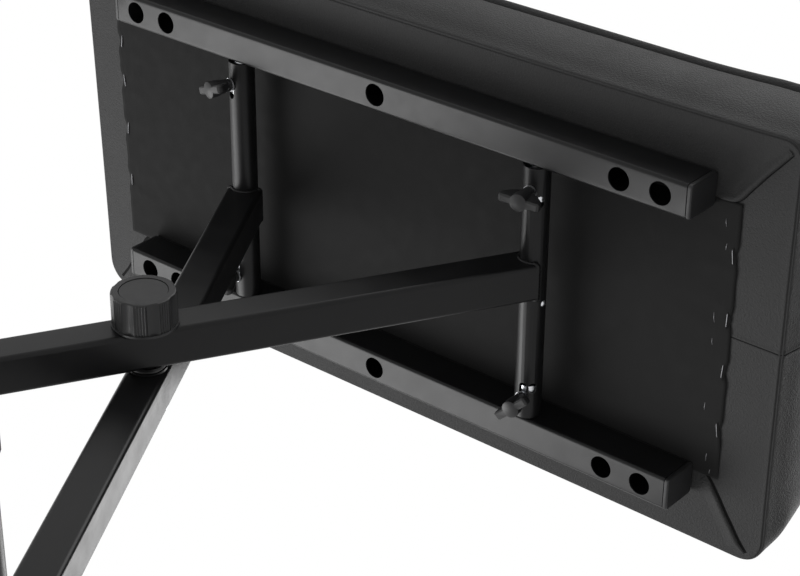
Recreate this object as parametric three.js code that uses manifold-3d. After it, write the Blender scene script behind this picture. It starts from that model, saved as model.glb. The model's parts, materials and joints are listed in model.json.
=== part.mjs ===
// Folding keyboard bench: an upholstered seat on two steel rails, carried by a single X of square
// tube legs that turn on a clamped centre pivot. Millimetres, +Z up, X along the seat, Y front to
// back, origin on the floor under the middle of the seat. The -Y side is the knob side. Leg A rises
// to +X, leg B to -X.
import * as THREE from "three";
import { mergeVertices } from "three/addons/utils/BufferGeometryUtils.js";
import Module from "manifold-3d";

const wasm = await Module();
wasm.setup();

// General clearances
const FIT_GAP = 0.3; // between pieces that touch on the real bench
const CUT_OVERRUN = 3; // how far a cutting body runs past the wall that it opens
const MERGE_DISTANCE = 1e-4;

// Facets
const ROUND_SIDES = 24;
const SMALL_ROUND_SIDES = 12;
const WING_HUB_SIDES = 16;
const CORNER_CURVE_STEPS = 2;
const EDGE_STEPS = 2;

// Legs: square tube, opened to the playing height
const LEG_SIZE = 26.6;
const LEG_WALL = 1.5;
const LEG_CORNER = 3;
const LEG_ANGLE = THREE.MathUtils.degToRad(60); // from the floor
const LEG_TOP_ARM = 264; // pivot to top tube
const LEG_FOOT_ARM = 295; // pivot to foot tube
const LEG_TOP_TRIM = 2.2; // the leg stops this far short of the top tube's centre line
const LEG_FOOT_TRIM = 6.5; // and this far short of the foot tube's
const LEG_PAIR_SHIFT = 3.6; // the pair of legs sits a little behind the middle of the tubes

// Top tubes
const TOP_TUBE_RADIUS = 9.5;
const TOP_TUBE_WALL = 1.5;
const TOP_TUBE_END_PLAY = 1; // between the tube's end and the rail

// Slots in the top tubes, one near each end
const SLOT_WIDTH = 5.6;
const SLOT_FROM_END = 16.5; // tube end to the wing screw when the pin is out
const PIN_TRAVEL = 8.5;
const SLOT_LEAN_A = THREE.MathUtils.degToRad(41); // from the leg's line, to the outer side
const SLOT_LEAN_B = THREE.MathUtils.degToRad(44);
const SLOT_HOOK_TURN = THREE.MathUtils.degToRad(42);
const SLOT_NOTCH = 2.6; // the hook's end turned back towards the tube's end, to park the pin in

// Lock pins inside the top tubes
const PIN_BEHIND_SCREW = 8;
const PIN_SHOULDER_INSET = 3; // shoulder behind the tube's end
const PIN_NOSE_RADIUS = 5;
const PIN_REACH_A = 7.5; // past the rail's inner face
const PIN_REACH_B = -0.6; // leg B's pins stop short of the rails, so that the bench can fold
const PIN_NOSE_EDGE = 1;

// Wing screws
const STUD_RADIUS = 2.5;
const STUD_IN_PIN = 5;
const STUD_IN_HANDLE = 7;
const WING_WASHER_RADIUS = 5;
const WING_WASHER_THICKNESS = 1;
const WING_HEIGHT = 18.6;
const WING_NECK_RADIUS = 4.6;
const WING_NECK_HEIGHT = 2.4;
const WING_BOSS_RADIUS = 6.2;
const WING_BOSS_START = 12;
const WING_DOME = 1.4;
const WING_THICKNESS = 6;
const WING_EDGE = 1;
const WING_TIP = 14.8;
const WING_FOOT = 3; // height at which the wings leave the neck
const WING_TOP = 17.4;
const WING_SPAN_SHARES = [0, 0.36, 0.62, 0.84, 0.97, 1, 0.98, 0.92, 0.4]; // of the wing's tip
const WING_RISE_SHARES = [0, 0.1, 0.3, 0.52, 0.7, 0.84, 0.95, 1, 1]; // of the wing's rise
const WING_TURNS_A = { front: 4, back: -42 }; // degrees at rest
const WING_TURNS_B = { front: -21, back: 14 };

// Foot tubes and their rubber caps
const FOOT_TUBE_RADIUS = 12.5;
const FOOT_TUBE_WALL = 1.5;
const FOOT_TUBE_LENGTH = 300;
const FOOT_CAP_WALL = 3;
const FOOT_CAP_LENGTH = 34;
const FOOT_CAP_END = 4;
const FOOT_CAP_EDGE = 2;
const FOOT_PAD_WIDTH = 17;
const FOOT_PAD_LIP = 1.2; // how far the flat pad stands below the round cap

// Centre pivot
const PIVOT_GAP = 5.6; // between the two legs
const SLEEVE_RADIUS = 6.5;
const BOLT_RADIUS = 4;
const BOLT_HEAD_RADIUS = 7.5; // over the corners
const BOLT_HEAD_HEIGHT = 5.3;
const BOLT_IN_KNOB = 17;
const HEX_SIDES = 6;
const PLATE_RADIUS = 12.6;
const FRICTION_RADIUS = 11.8;
const BOLT_WASHER_RADIUS = 12;
const BOLT_WASHER_THICKNESS = 1.6;

// Clamp knob
const KNOB_RADIUS = 20.9;
const KNOB_HEIGHT = 23.5;
const KNOB_EDGE = 1.6;
const KNOB_FLANGE_RADIUS = 21.4;
const KNOB_FLANGE_HEIGHT = 1.6;
const KNOB_LOBES = 8;
const KNOB_RIBS = 5; // on each lobe
const KNOB_RIB_DEPTH = 0.6;
const KNOB_RIB_POINT_SHARES = [0.3, 0.85]; // crest and valley, along a rib's arc
const KNOB_RIB_ARC_SHARE = 0.54; // of a lobe's arc
const KNOB_SCALLOP_DEPTH = 1.2;
const KNOB_SCALLOP_STEPS = 3;
const KNOB_TURN = THREE.MathUtils.degToRad(-51);
const KNOB_RECESS_RADIUS = 15.8;
const KNOB_RECESS_DEPTH = 2.6;
const KNOB_CAP_THICKNESS = 1.9;
const INSERT_RADIUS = 7;
const INSERT_LENGTH = 14;

// Rivet through top tube A
const RIVET_HEAD_RADIUS = 2.2;
const RIVET_HEAD_HEIGHT = 1.1;
const RIVET_SHANK_RADIUS = 1.4;
const RIVET_SHANK_LENGTH = 3;
const RIVET_FROM_LEG = 4.8; // leg face to rivet, along the tube
const RIVET_LEAN = THREE.MathUtils.degToRad(116); // from the leg's line, to the outer side

// Seat outline
const SEAT_LENGTH = 622;
const SEAT_WIDTH = 309;

// Seat rails, placed by their distance from the seat's sides and ends
const RAIL_FROM_END = 61;
const RAIL_FROM_SIDE = 47; // side of the seat to the rail's centre line
const RAIL_WIDTH = 24;
const RAIL_HEIGHT = 30;
const RAIL_WALL = 1.5;
const RAIL_CORNER = 2.5;
const RAIL_PIN_HEIGHT = 7.9; // pin hole above the rail's lower face
const ACCESS_RADIUS = 8;
const ACCESS_INNER_FROM_END = 50; // end of the rail to the access holes
const ACCESS_OUTER_FROM_END = 19;
const PLUG_FLANGE = 3;
const PLUG_DEPTH = 9;
const PLUG_EDGE = 1;

// Seat screws and tee nuts
const SCREW_RADIUS = 3;
const SCREW_HEAD_RADIUS = 6;
const SCREW_HEAD_HEIGHT = 3.6;
const SCREW_HEAD_EDGE = 1.2;
const SCREW_REACH = 13; // past the top of the rail
const NUT_BARREL_RADIUS = 4.6;
const NUT_BARREL_LENGTH = 8;
const NUT_FLANGE_RADIUS = 9.5;
const NUT_FLANGE_THICKNESS = 1.2;

// Seat: cover, foam, board and dust cover
const SEAT_CORNER = 14;
const SEAT_CORNER_STEPS = 3;
const SEAT_LONG_STEPS = 6;
const SEAT_SHORT_STEPS = 4;
const SEAT_DRAW_IN = 3; // how far the sides pull in between the corners
const PULL_POWER = 4; // how squarely the pulled-in side meets the corners
const SEAT_CREASE = 3; // rounding where the side turns under
const SEAM_HEIGHT = 59.6; // underside to the seam round the top panel
const SEAM_PINCH = 2.4;
const SEAM_HALF_WIDTH = 2;
const ROLL_HEIGHT = 10; // rolled edge of the top panel, above the seam
const ROLL_BULGE = 1.7;
const BAND_BULGE = 1.2;
const CROWN = 6;
const CROWN_EDGE = 12; // rim over which the roll turns into the top
const COVER_THICKNESS = 1.4;
const COVER_WRAP_SIDES = 64; // leather turned under the board, front and back
const COVER_WRAP_ENDS = 52;
const BOARD_THICKNESS = 12;
const BOARD_EASE = 1.5; // board edge to the inside of the cover
const DUST_COVER_THICKNESS = 0.6;
const DUST_COVER_FROM_SIDE = 53; // side of the seat to the dust cover's edge
const DUST_COVER_FROM_LEFT = 29;
const DUST_COVER_FROM_RIGHT = 38.6;
const DUST_COVER_CORNER = 3;

// Places that follow from the sizes
const LEG_TILT = Math.PI / 2 - LEG_ANGLE;
const FOOT_CAP_BORE = FOOT_TUBE_RADIUS + FIT_GAP;
const FOOT_CAP_RADIUS = FOOT_CAP_BORE + FOOT_CAP_WALL;
const FOOT_Z = FOOT_CAP_RADIUS + FOOT_PAD_LIP;
const FOOT_X = LEG_FOOT_ARM * Math.cos(LEG_ANGLE);
const PIVOT_Z = FOOT_Z + LEG_FOOT_ARM * Math.sin(LEG_ANGLE);
const TOP_TUBE_Z = PIVOT_Z + LEG_TOP_ARM * Math.sin(LEG_ANGLE);
const TOP_TUBE_X = LEG_TOP_ARM * Math.cos(LEG_ANGLE);
const TOP_TUBE_BORE = TOP_TUBE_RADIUS - TOP_TUBE_WALL;
const PIN_RADIUS = TOP_TUBE_BORE - FIT_GAP;
const RAIL_Z = TOP_TUBE_Z - RAIL_PIN_HEIGHT;
const RAIL_TOP_Z = RAIL_Z + RAIL_HEIGHT;
const RAIL_LENGTH = SEAT_LENGTH - 2 * RAIL_FROM_END;
const ACCESS_INNER = RAIL_LENGTH / 2 - ACCESS_INNER_FROM_END; // from the middle of the rail
const ACCESS_OUTER = RAIL_LENGTH / 2 - ACCESS_OUTER_FROM_END;
const RAIL_Y = SEAT_WIDTH / 2 - RAIL_FROM_SIDE;
const RAIL_INNER_Y = RAIL_Y - RAIL_WIDTH / 2;
const TOP_TUBE_END = RAIL_INNER_Y - TOP_TUBE_END_PLAY;
const WING_Y = TOP_TUBE_END - SLOT_FROM_END;
const LEG_A_Y = LEG_PAIR_SHIFT - (PIVOT_GAP + LEG_SIZE) / 2;
const LEG_B_Y = LEG_PAIR_SHIFT + (PIVOT_GAP + LEG_SIZE) / 2;
const KNOB_Y = LEG_A_Y - LEG_SIZE / 2 - FIT_GAP;
const RIVET_Y = LEG_A_Y + LEG_SIZE / 2 + RIVET_FROM_LEG;
const DUST_COVER_Z = RAIL_TOP_Z + FIT_GAP;
const COVER_Z = DUST_COVER_Z + DUST_COVER_THICKNESS + FIT_GAP;
const BOARD_Z = COVER_Z + COVER_THICKNESS + FIT_GAP;
const BOARD_TOP_Z = BOARD_Z + BOARD_THICKNESS;
const TOP_PANEL_Z = SEAM_HEIGHT + ROLL_HEIGHT;
const DUST_COVER_WIDTH = SEAT_WIDTH - 2 * DUST_COVER_FROM_SIDE;
const DUST_COVER_LEFT = SEAT_LENGTH / 2 - DUST_COVER_FROM_LEFT; // from the middle of the seat
const DUST_COVER_RIGHT = SEAT_LENGTH / 2 - DUST_COVER_FROM_RIGHT;

// Finishes
const blackSteel = new THREE.MeshStandardMaterial({ color: 0x1b1b1d, roughness: 0.42, metalness: 0.55 });
const zincSteel = new THREE.MeshStandardMaterial({ color: 0xc4c6c8, roughness: 0.28, metalness: 1 });
const brass = new THREE.MeshStandardMaterial({ color: 0xb89a55, roughness: 0.35, metalness: 1 });
const blackPlastic = new THREE.MeshStandardMaterial({ color: 0x161617, roughness: 0.5, metalness: 0 });
const blackRubber = new THREE.MeshStandardMaterial({ color: 0x121212, roughness: 0.85, metalness: 0 });
const nylon = new THREE.MeshStandardMaterial({ color: 0xd9d6cc, roughness: 0.5, metalness: 0 });
const leather = new THREE.MeshStandardMaterial({ color: 0x242426, roughness: 0.55, metalness: 0 });
const feltCloth = new THREE.MeshStandardMaterial({ color: 0x141415, roughness: 0.95, metalness: 0 });
const plywood = new THREE.MeshStandardMaterial({ color: 0xc29a63, roughness: 0.7, metalness: 0 });
const foam = new THREE.MeshStandardMaterial({ color: 0xe8dfb4, roughness: 0.95, metalness: 0 });

// Solid bodies for cutting and joining, and meshes made from them
function solidOf(geometry) {
  const bare = new THREE.BufferGeometry();
  bare.setAttribute("position", geometry.getAttribute("position"));
  bare.setIndex(geometry.getIndex());
  const merged = mergeVertices(bare, MERGE_DISTANCE);
  const vertProperties = Float32Array.from(merged.getAttribute("position").array);
  const triVerts = Uint32Array.from(merged.getIndex().array);
  return new wasm.Manifold(new wasm.Mesh({ numProp: 3, vertProperties, triVerts }));
}

function addPiece(parent, name, solid, material) {
  const { vertProperties, triVerts, numProp } = solid.getMesh();
  const geometry = new THREE.BufferGeometry();
  geometry.setAttribute("position", new THREE.BufferAttribute(Float32Array.from(vertProperties), numProp));
  geometry.setIndex(new THREE.BufferAttribute(Uint32Array.from(triVerts), 1));
  geometry.computeVertexNormals();
  const mesh = new THREE.Mesh(geometry, material);
  mesh.name = name;
  parent.add(mesh);
}

function cutAll(solid, cutters) {
  return cutters.reduce((rest, cutter) => rest.subtract(cutter), solid);
}

// Round bodies. Turned profiles are lists of [radius, place along Y], from the axis round to the axis.
function turned(profile, sides = ROUND_SIDES) {
  return new THREE.LatheGeometry(profile.map(([radius, y]) => new THREE.Vector2(radius, y)), sides);
}

function ring(radius, bore, length, sides = ROUND_SIDES) {
  const end = length / 2;
  return turned([[bore, -end], [radius, -end], [radius, end], [bore, end], [bore, -end]], sides);
}

function rod(axis, radius, length, centre, sides = ROUND_SIDES) {
  const geometry = new THREE.CylinderGeometry(radius, radius, length, sides);
  if (axis === "z") geometry.rotateX(Math.PI / 2);
  return solidOf(geometry.translate(...centre));
}

// A quarter round on a turned profile, from the flank at this radius and place to the face beyond it
function roundedEdge(radius, y, edge, rise = edge) {
  return Array.from({ length: EDGE_STEPS + 1 }, (unused, step) => {
    const turn = (step / EDGE_STEPS) * (Math.PI / 2);
    return [radius - edge * (1 - Math.cos(turn)), y + rise * Math.sin(turn)];
  });
}

// Flat outlines, and bodies raised from them along +Z
function roundedOutline(width, height, corner, Kind = THREE.Shape) {
  const x = width / 2 - corner;
  const y = height / 2 - corner;
  const outline = new Kind();
  outline.absarc(x, y, corner, 0, Math.PI / 2, false);
  outline.absarc(-x, y, corner, Math.PI / 2, Math.PI, false);
  outline.absarc(-x, -y, corner, Math.PI, -Math.PI / 2, false);
  outline.absarc(x, -y, corner, -Math.PI / 2, 0, false);
  outline.closePath();
  return outline;
}

function raised(outline, depth, curveSegments = CORNER_CURVE_STEPS) {
  return new THREE.ExtrudeGeometry(outline, { depth, curveSegments, bevelEnabled: false });
}

function boxTube(width, height, wall, corner, length) {
  const outline = roundedOutline(width, height, corner);
  outline.holes.push(roundedOutline(width - 2 * wall, height - 2 * wall, corner - wall, THREE.Path));
  return raised(outline, length);
}

// A closed body through rings of equal count, each anticlockwise seen from above, lowest first
function loft(rings) {
  const count = rings[0].length;
  const middle = (ring) => {
    return ring.reduce((sum, point) => sum.add(point), new THREE.Vector3()).divideScalar(count);
  };
  const points = rings.flat();
  const low = points.push(middle(rings[0])) - 1;
  const high = points.push(middle(rings[rings.length - 1])) - 1;
  const top = (rings.length - 1) * count;
  const index = [];
  for (let i = 0; i < count; i += 1) {
    const next = (i + 1) % count;
    for (let base = 0; base < top; base += count) {
      index.push(base + i, base + next, base + count + next);
      index.push(base + i, base + count + next, base + count + i);
    }
    index.push(low, next, i);
    index.push(high, top + i, top + next);
  }
  const geometry = new THREE.BufferGeometry().setFromPoints(points);
  geometry.setIndex(index);
  return geometry;
}

const bench = new THREE.Group();

// Leg frames: the origin on the pivot, +Z up the leg. outer is +1 where the leg rises to +X, else -1.
function legFrame(outer) {
  const frame = new THREE.Group();
  frame.position.z = PIVOT_Z;
  frame.rotation.y = outer * LEG_TILT;
  bench.add(frame);
  return frame;
}

// Turns a body that points down the leg outwards, about the leg frame's Y
function leanOut(geometry, outer, lean) {
  return geometry.rotateY(-outer * lean);
}

function legTube(y) {
  const foot = LEG_FOOT_ARM - LEG_FOOT_TRIM;
  const tube = boxTube(LEG_SIZE, LEG_SIZE, LEG_WALL, LEG_CORNER, foot + LEG_TOP_ARM - LEG_TOP_TRIM);
  const across = LEG_SIZE + 2 * CUT_OVERRUN;
  return cutAll(solidOf(tube.translate(0, y, -foot)), [
    rod("y", TOP_TUBE_RADIUS + FIT_GAP, across, [0, y, LEG_TOP_ARM]),
    rod("y", FOOT_TUBE_RADIUS + FIT_GAP, across, [0, y, -LEG_FOOT_ARM]),
    rod("y", SLEEVE_RADIUS + FIT_GAP, across, [0, y, 0]),
  ]);
}

// One slot: a run along the tube, a hook turned outwards at its inner end, and a notch at the hook's end
function slotCutters(outer, end, slotLean) {
  const reach = TOP_TUBE_RADIUS + CUT_OVERRUN;
  const locked = end * WING_Y;
  const parked = end * (WING_Y - PIN_TRAVEL);
  const stop = (y, lean) => {
    const peg = new THREE.CylinderGeometry(SLOT_WIDTH / 2, SLOT_WIDTH / 2, reach, SMALL_ROUND_SIDES);
    return solidOf(leanOut(peg.rotateX(Math.PI / 2).translate(0, y, -reach / 2), outer, lean));
  };
  const run = new THREE.BoxGeometry(SLOT_WIDTH, PIN_TRAVEL, reach);
  const sector = new THREE.Shape();
  sector.moveTo(0, 0);
  sector.absarc(0, 0, reach, -Math.PI / 2, outer * SLOT_HOOK_TURN - Math.PI / 2, outer < 0);
  sector.closePath();
  const hook = raised(sector, SLOT_WIDTH).rotateX(Math.PI / 2);
  return [
    solidOf(leanOut(run.translate(0, (locked + parked) / 2, -reach / 2), outer, slotLean)),
    solidOf(leanOut(hook.translate(0, parked + SLOT_WIDTH / 2, 0), outer, slotLean)),
    stop(locked, slotLean),
    stop(parked, slotLean),
    stop(parked, slotLean + SLOT_HOOK_TURN),
    stop(parked + end * SLOT_NOTCH, slotLean + SLOT_HOOK_TURN),
  ];
}

// Lock pin along +Y from the wing screw, whose threaded hole opens to -Z
function lockPin(reach) {
  const shoulder = SLOT_FROM_END - PIN_SHOULDER_INSET;
  const nose = SLOT_FROM_END + TOP_TUBE_END_PLAY + reach;
  const pin = turned([
    [0, -PIN_BEHIND_SCREW],
    [PIN_RADIUS, -PIN_BEHIND_SCREW],
    [PIN_RADIUS, shoulder],
    [PIN_NOSE_RADIUS, shoulder],
    [PIN_NOSE_RADIUS, nose - PIN_NOSE_EDGE],
    [PIN_NOSE_RADIUS - PIN_NOSE_EDGE, nose],
    [0, nose],
  ]);
  const depth = STUD_IN_PIN + FIT_GAP + CUT_OVERRUN;
  const middle = depth / 2 - PIN_RADIUS - CUT_OVERRUN;
  return solidOf(pin).subtract(rod("z", STUD_RADIUS + FIT_GAP, depth, [0, 0, middle], SMALL_ROUND_SIDES));
}

// Wing handle standing on +Z from its base at z = 0
function wingHandle() {
  const hub = turned([
    [0, 0],
    [WING_NECK_RADIUS, 0],
    [WING_NECK_RADIUS, WING_NECK_HEIGHT],
    [WING_BOSS_RADIUS, WING_BOSS_START],
    ...roundedEdge(WING_BOSS_RADIUS, WING_HEIGHT - WING_DOME, WING_BOSS_RADIUS, WING_DOME),
  ], WING_HUB_SIDES).rotateX(Math.PI / 2);
  const half = WING_SPAN_SHARES.map((share, i) => {
    const rise = WING_FOOT + (WING_TOP - WING_EDGE - WING_FOOT) * WING_RISE_SHARES[i];
    return new THREE.Vector2((WING_TIP - WING_EDGE) * share, rise);
  });
  const mirrored = half.slice(1).reverse().map(({ x, y }) => new THREE.Vector2(-x, y));
  const wings = new THREE.ExtrudeGeometry(new THREE.Shape([...half, ...mirrored]), {
    depth: WING_THICKNESS - 2 * WING_EDGE,
    bevelThickness: WING_EDGE,
    bevelSize: WING_EDGE,
    bevelSegments: 1,
  });
  wings.translate(0, 0, WING_EDGE - WING_THICKNESS / 2).rotateX(Math.PI / 2);
  const depth = STUD_IN_HANDLE + FIT_GAP + CUT_OVERRUN;
  const bore = rod("z", STUD_RADIUS + FIT_GAP, depth, [0, 0, depth / 2 - CUT_OVERRUN], SMALL_ROUND_SIDES);
  return solidOf(hub).add(solidOf(wings)).subtract(bore);
}

// Top tube with a lock pin and a wing screw near each end
function addTopTube(frame, { letter, outer, slotLean, pinReach, wingTurns, tubeCutters }) {
  const bare = solidOf(ring(TOP_TUBE_RADIUS, TOP_TUBE_BORE, 2 * TOP_TUBE_END));
  const slots = [...slotCutters(outer, -1, slotLean), ...slotCutters(outer, 1, slotLean)];
  const tube = cutAll(bare, [...slots, ...tubeCutters]);
  addPiece(frame, `top_tube_${letter}`, tube.translate([0, 0, LEG_TOP_ARM]), blackSteel);
  const washerZ = TOP_TUBE_RADIUS + FIT_GAP;
  const handleZ = washerZ + WING_WASHER_THICKNESS + FIT_GAP;
  const studStart = PIN_RADIUS - STUD_IN_PIN;
  const studLength = handleZ + STUD_IN_HANDLE - studStart;
  for (const [place, end] of [["front", -1], ["back", 1]]) {
    const tag = `${letter}_${place}`;
    const slot = new THREE.Group();
    slot.position.set(0, end * WING_Y, LEG_TOP_ARM);
    slot.rotation.y = -outer * slotLean;
    frame.add(slot);
    addPiece(slot, `lock_pin_${tag}`, lockPin(pinReach).rotate([0, 0, end < 0 ? 180 : 0]), zincSteel);
    const screw = new THREE.Group();
    screw.rotation.set(Math.PI, 0, THREE.MathUtils.degToRad(wingTurns[place]), "ZXY");
    slot.add(screw);
    const stud = rod("z", STUD_RADIUS, studLength, [0, 0, studStart + studLength / 2], SMALL_ROUND_SIDES);
    addPiece(screw, `wing_stud_${tag}`, stud, zincSteel);
    const washer = ring(WING_WASHER_RADIUS, STUD_RADIUS + FIT_GAP, WING_WASHER_THICKNESS, SMALL_ROUND_SIDES);
    washer.rotateX(Math.PI / 2).translate(0, 0, washerZ + WING_WASHER_THICKNESS / 2);
    addPiece(screw, `wing_washer_${tag}`, solidOf(washer), zincSteel);
    addPiece(screw, `wing_handle_${tag}`, wingHandle().translate([0, 0, handleZ]), blackPlastic);
  }
}

// Rubber cap over a foot tube's end, its open end at y = 0 and its closed end towards +Y
function footCap() {
  const profile = [
    [0, 0],
    [FOOT_CAP_RADIUS, 0],
    ...roundedEdge(FOOT_CAP_RADIUS, FOOT_CAP_LENGTH - FOOT_CAP_EDGE, FOOT_CAP_EDGE),
    [0, FOOT_CAP_LENGTH],
  ];
  const padLength = FOOT_CAP_LENGTH - FOOT_CAP_EDGE;
  const pad = new THREE.BoxGeometry(FOOT_PAD_WIDTH, padLength, FOOT_Z);
  const boreLength = FOOT_CAP_LENGTH - FOOT_CAP_END + CUT_OVERRUN;
  return solidOf(turned(profile))
    .add(solidOf(pad.translate(0, padLength / 2, -FOOT_Z / 2)))
    .subtract(rod("y", FOOT_CAP_BORE, boreLength, [0, boreLength / 2 - CUT_OVERRUN, 0]));
}

function addFoot(frame, letter, outer) {
  const tube = solidOf(ring(FOOT_TUBE_RADIUS, FOOT_TUBE_RADIUS - FOOT_TUBE_WALL, FOOT_TUBE_LENGTH));
  addPiece(frame, `foot_tube_${letter}`, tube.translate([0, 0, -LEG_FOOT_ARM]), blackSteel);
  const open = FOOT_TUBE_LENGTH / 2 + FIT_GAP + FOOT_CAP_END - FOOT_CAP_LENGTH;
  for (const [place, end] of [["front", -1], ["back", 1]]) {
    const cap = footCap().rotate([0, 0, end < 0 ? 180 : 0]).translate([-outer * FOOT_X, end * open, FOOT_Z]);
    addPiece(bench, `foot_cap_${letter}_${place}`, cap, blackRubber);
  }
}

// wingTurns are the wing screws' rest turns, in degrees
function addLeg(leg) {
  const { letter, outer, y } = leg;
  const frame = legFrame(outer);
  addPiece(frame, `leg_${letter}`, legTube(y), blackSteel);
  addTopTube(frame, leg);
  addFoot(frame, letter, outer);
  const sleeve = ring(SLEEVE_RADIUS, BOLT_RADIUS + FIT_GAP, LEG_SIZE, SMALL_ROUND_SIDES);
  addPiece(frame, `pivot_sleeve_${letter}`, solidOf(sleeve.translate(0, y, 0)), zincSteel);
  return frame;
}

// A body standing on +Y, seated on top tube A's outside at the rivet, in a frame on the tube's axis
function atRivet(geometry) {
  geometry.rotateX(-Math.PI / 2).translate(0, 0, -TOP_TUBE_RADIUS);
  return solidOf(leanOut(geometry, 1, RIVET_LEAN).translate(0, RIVET_Y, 0));
}

const rivetBore = RIVET_SHANK_RADIUS + FIT_GAP;
const rivetHole = new THREE.CylinderGeometry(rivetBore, rivetBore, 2 * RIVET_SHANK_LENGTH, SMALL_ROUND_SIDES);
const legA = addLeg({
  letter: "a",
  outer: 1,
  y: LEG_A_Y,
  slotLean: SLOT_LEAN_A,
  pinReach: PIN_REACH_A,
  wingTurns: WING_TURNS_A,
  tubeCutters: [atRivet(rivetHole)],
});
const legB = addLeg({
  letter: "b",
  outer: -1,
  y: LEG_B_Y,
  slotLean: SLOT_LEAN_B,
  pinReach: PIN_REACH_B,
  wingTurns: WING_TURNS_B,
  tubeCutters: [],
});

const rivet = turned([
  [0, -RIVET_SHANK_LENGTH],
  [RIVET_SHANK_RADIUS, -RIVET_SHANK_LENGTH],
  [RIVET_SHANK_RADIUS, FIT_GAP],
  ...roundedEdge(RIVET_HEAD_RADIUS, FIT_GAP, RIVET_HEAD_RADIUS, RIVET_HEAD_HEIGHT),
], SMALL_ROUND_SIDES);
addPiece(legA, "tube_rivet", atRivet(rivet).translate([0, 0, LEG_TOP_ARM]), zincSteel);

// Pivot: plate, friction washer and plate between the legs, and the bolt with its head behind leg B
function addPivot() {
  const plateThickness = (PIVOT_GAP - 4 * FIT_GAP) / 3;
  const step = plateThickness + FIT_GAP;
  const first = LEG_A_Y + LEG_SIZE / 2 + FIT_GAP + plateThickness / 2;
  const disc = (radius, y, thickness) => {
    return solidOf(ring(radius, BOLT_RADIUS + FIT_GAP, thickness).translate(0, y, 0));
  };
  addPiece(legA, "pivot_plate_a", disc(PLATE_RADIUS, first, plateThickness), blackSteel);
  addPiece(legA, "friction_washer", disc(FRICTION_RADIUS, first + step, plateThickness), nylon);
  addPiece(legB, "pivot_plate_b", disc(PLATE_RADIUS, first + 2 * step, plateThickness), blackSteel);
  const washerY = LEG_B_Y + LEG_SIZE / 2 + FIT_GAP;
  const washer = disc(BOLT_WASHER_RADIUS, washerY + BOLT_WASHER_THICKNESS / 2, BOLT_WASHER_THICKNESS);
  addPiece(legA, "bolt_washer", washer, zincSteel);
  const headY = washerY + BOLT_WASHER_THICKNESS + FIT_GAP;
  const tipY = KNOB_Y - BOLT_IN_KNOB;
  const length = headY + FIT_GAP - tipY;
  const shank = rod("y", BOLT_RADIUS, length, [0, tipY + length / 2, 0], SMALL_ROUND_SIDES);
  const head = rod("y", BOLT_HEAD_RADIUS, BOLT_HEAD_HEIGHT, [0, headY + BOLT_HEAD_HEIGHT / 2, 0], HEX_SIDES);
  addPiece(legA, "pivot_bolt", shank.add(head), zincSteel);
}

addPivot();

// Knob, standing on +Z from its face against leg A: ribbed lobes with smooth hollows between them.
// The outline is a list of [turn, radius].
function knobOutline() {
  const lobeArc = (2 * Math.PI) / KNOB_LOBES;
  const ribArc = (lobeArc * KNOB_RIB_ARC_SHARE) / KNOB_RIBS;
  const hollowArc = lobeArc * (1 - KNOB_RIB_ARC_SHARE);
  const outline = [];
  for (let lobe = 0; lobe < KNOB_LOBES; lobe += 1) {
    const start = KNOB_TURN + (lobe - KNOB_RIB_ARC_SHARE / 2) * lobeArc;
    for (let rib = 0; rib < KNOB_RIBS; rib += 1) {
      KNOB_RIB_POINT_SHARES.forEach((share, i) => {
        const depth = i === KNOB_RIB_POINT_SHARES.length - 1 ? KNOB_RIB_DEPTH : 0;
        outline.push([start + (rib + share) * ribArc, KNOB_RADIUS - depth]);
      });
    }
    for (let step = 0; step <= KNOB_SCALLOP_STEPS; step += 1) {
      const share = step / KNOB_SCALLOP_STEPS;
      const depth = KNOB_SCALLOP_DEPTH * Math.sin(share * Math.PI);
      outline.push([start + KNOB_RIBS * ribArc + hollowArc * share, KNOB_RADIUS - depth]);
    }
  }
  return outline;
}

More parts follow.
